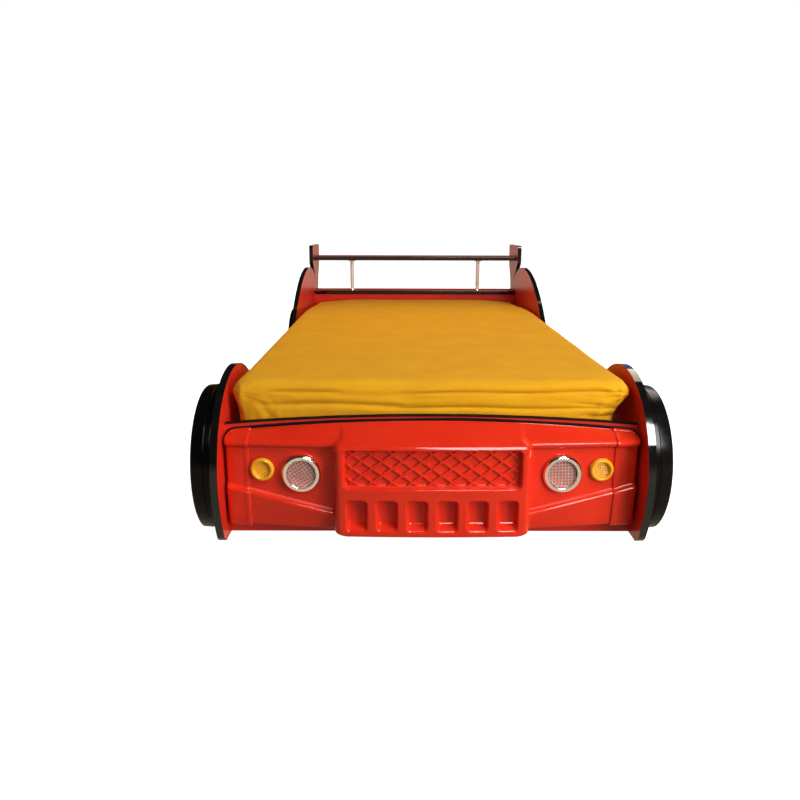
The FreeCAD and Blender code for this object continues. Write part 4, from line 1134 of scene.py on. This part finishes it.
def crumple(mesh, centre, half, top):
    """Adds the folds, seams, ripples and settled corners to the sheet as it came to rest."""
    places, normals = places_of(mesh), np.empty(len(mesh.vertices) * 3)
    mesh.vertices.foreach_get("normal", normals)
    normals = normals.reshape(-1, 3)
    x, y = places[:, 0] - centre[0], places[:, 1] - centre[1]
    drop = top - places[:, 2]
    shift = settled_filling(places, centre, half, top) - places
    facing_foot = smooth_step(0.2, 0.75, -normals[:, 1])
    facing_up = smooth_step(0.6, 0.95, normals[:, 2])
    seam = 1.1 * np.exp(-((np.abs(x) - half[0] + 19) / 1.8) ** 2) * smooth_step(3, 8, drop)
    places[:, 1] -= foot_folds(x, drop) * facing_foot * smooth_step(1, 6, drop) * (drop < 100)
    places[:, 1] += seam * facing_foot
    places[:, 2] += top_ripples(x, y) * facing_up * smooth_step(0, 14, half[1] - np.abs(y))
    move_points(mesh, places + shift)


def add_mattress():
    """The mattress: a knitted cover over foam, crowned a little, with a piped seam round both edges."""
    low, high = mattress_box()
    low[1] += FOOT_ROOM
    centre, half = (low + high)[:2] / 2, (high - low)[:2] / 2 - 4.5
    bottom, top = low[2] + 3.2, high[2] - 2.5
    points, faces, run, hem = wrapped_box(half, bottom, top, MATTRESS_CORNER - 4, MATTRESS_EDGE + 2,
                                          SHEET_HEM, 21)
    x, y = points[:, 0], points[:, 1]
    crown = (1 - (x / half[0]) ** 4) * (1 - (y / half[1]) ** 6)
    points[:, 2] += np.where(run < 0, 1.4 * crown * (0.6 + 0.4 * np.cos(x / 26) * np.cos(y / 26)), 0)
    height = top - bottom
    seam = np.exp(-((run - 6) / 4) ** 2) + np.exp(-((run - (height - 34)) / 4) ** 2)
    lean = np.where((run > 0) & (run < height - 20), 1, 0)
    away = np.stack([x, y], -1) / half
    away = np.sign(away) * np.abs(away) ** 12
    points[:, :2] += away * (1.5 * seam * lean + 1.2 * np.sin(np.clip(run / height, 0, 1) * math.pi))[:, None]
    points[:, :2] += centre
    faces.append(tuple(hem[::-1]))
    return new_piece("mattress_in_ticking", points, faces, "foam", "mattress")


def settle_cloth(sheet, mattress, cut, hem, frames=14):
    """Lets the sheet, cut as given, come to rest over the mattress with its hem held underneath."""
    sheet.shape_key_add(name="wrapped")
    key = sheet.shape_key_add(name="cut")
    key.data.foreach_set("co", (cut * MM).ravel())
    key.value = 0.0
    held = sheet.vertex_groups.new(name="hem")
    held.add(list(hem), 1.0, "REPLACE")
    body = mattress.modifiers.new("body", "COLLISION")
    set_all(mattress.collision, thickness_outer=0.0015, cloth_friction=12)
    cloth = sheet.modifiers.new("cloth", "CLOTH")
    set_all(cloth.settings, quality=6, mass=0.25, tension_stiffness=18, compression_stiffness=18,
            shear_stiffness=8, bending_stiffness=0.6, tension_damping=12, compression_damping=12,
            shear_damping=12, bending_damping=2, air_damping=3, vertex_group_mass="hem", pin_stiffness=1.0,
            rest_shape_key=key)
    set_all(cloth.collision_settings, collision_quality=3, distance_min=0.0015, use_self_collision=False)
    set_all(cloth.point_cache, frame_start=1, frame_end=frames)
    scene = bpy.context.scene
    for frame_number in range(1, frames + 1):
        scene.frame_set(frame_number)
    evaluated = sheet.evaluated_get(bpy.context.evaluated_depsgraph_get())
    settled = bpy.data.meshes.new_from_object(evaluated)
    sheet.modifiers.remove(cloth)
    mattress.modifiers.remove(body)
    scene.frame_set(1)
    return settled


def add_bedding():
    low, high = mattress_box()
    centre, half = (low + high)[:2] / 2, (high - low)[:2] / 2 - 1.5
    mattress = add_mattress()
    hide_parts("mattress")
    wrapped, cut, faces, hem = sheet_shapes(centre, half, low[2] + 0.6, high[2])
    sheet = new_piece("cotton_fitted_sheet", wrapped, faces, "yellow_cotton", "mattress")
    replace_mesh(sheet, settle_cloth(sheet, mattress, cut, hem))
    sheet.modifiers.new("finer", "SUBSURF").levels = 1
    finer = bpy.data.meshes.new_from_object(sheet.evaluated_get(bpy.context.evaluated_depsgraph_get()))
    sheet.modifiers.clear()
    replace_mesh(sheet, finer)
    crumple(sheet.data, centre, half, high[2])
    moved = settled_filling(places_of(mattress.data), centre, half, high[2], FOLD_SLACK)
    move_points(mattress.data, moved)
    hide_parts("fitted_sheet")


def replace_mesh(piece, mesh):
    if piece.data.shape_keys:
        piece.shape_key_clear()
    piece.data = mesh
    mesh.materials.clear()
    mesh.materials.append(LOOKS["yellow_cotton"])


# ---- Assembly -----------------------------------------------------------------------------------
def dress_frame(looks):
    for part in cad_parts.values():
        for material_slot in part.material_slots:
            material_slot.material = looks[material_slot.material.name]
    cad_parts["front_board_edging"].material_slots[0].material = looks["matt_edging"]
    # The struts get the look whose white colour is a painted reflection of a bright room.
    for word in ("left", "right"):
        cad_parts["wing_strut_" + word].material_slots[0].material = looks["strut"]


add_camera()
LOOKS = make_materials()
add_floor()
add_lights()
dress_frame(LOOKS)
add_bumper()
add_mesh_ribs()
for bed_side in SIDES:
    add_end_cap(*bed_side)
add_gasket()
for bed_side in SIDES:
    add_headlamp(*bed_side)
    add_indicator(*bed_side)
add_wheels()
add_bedding()
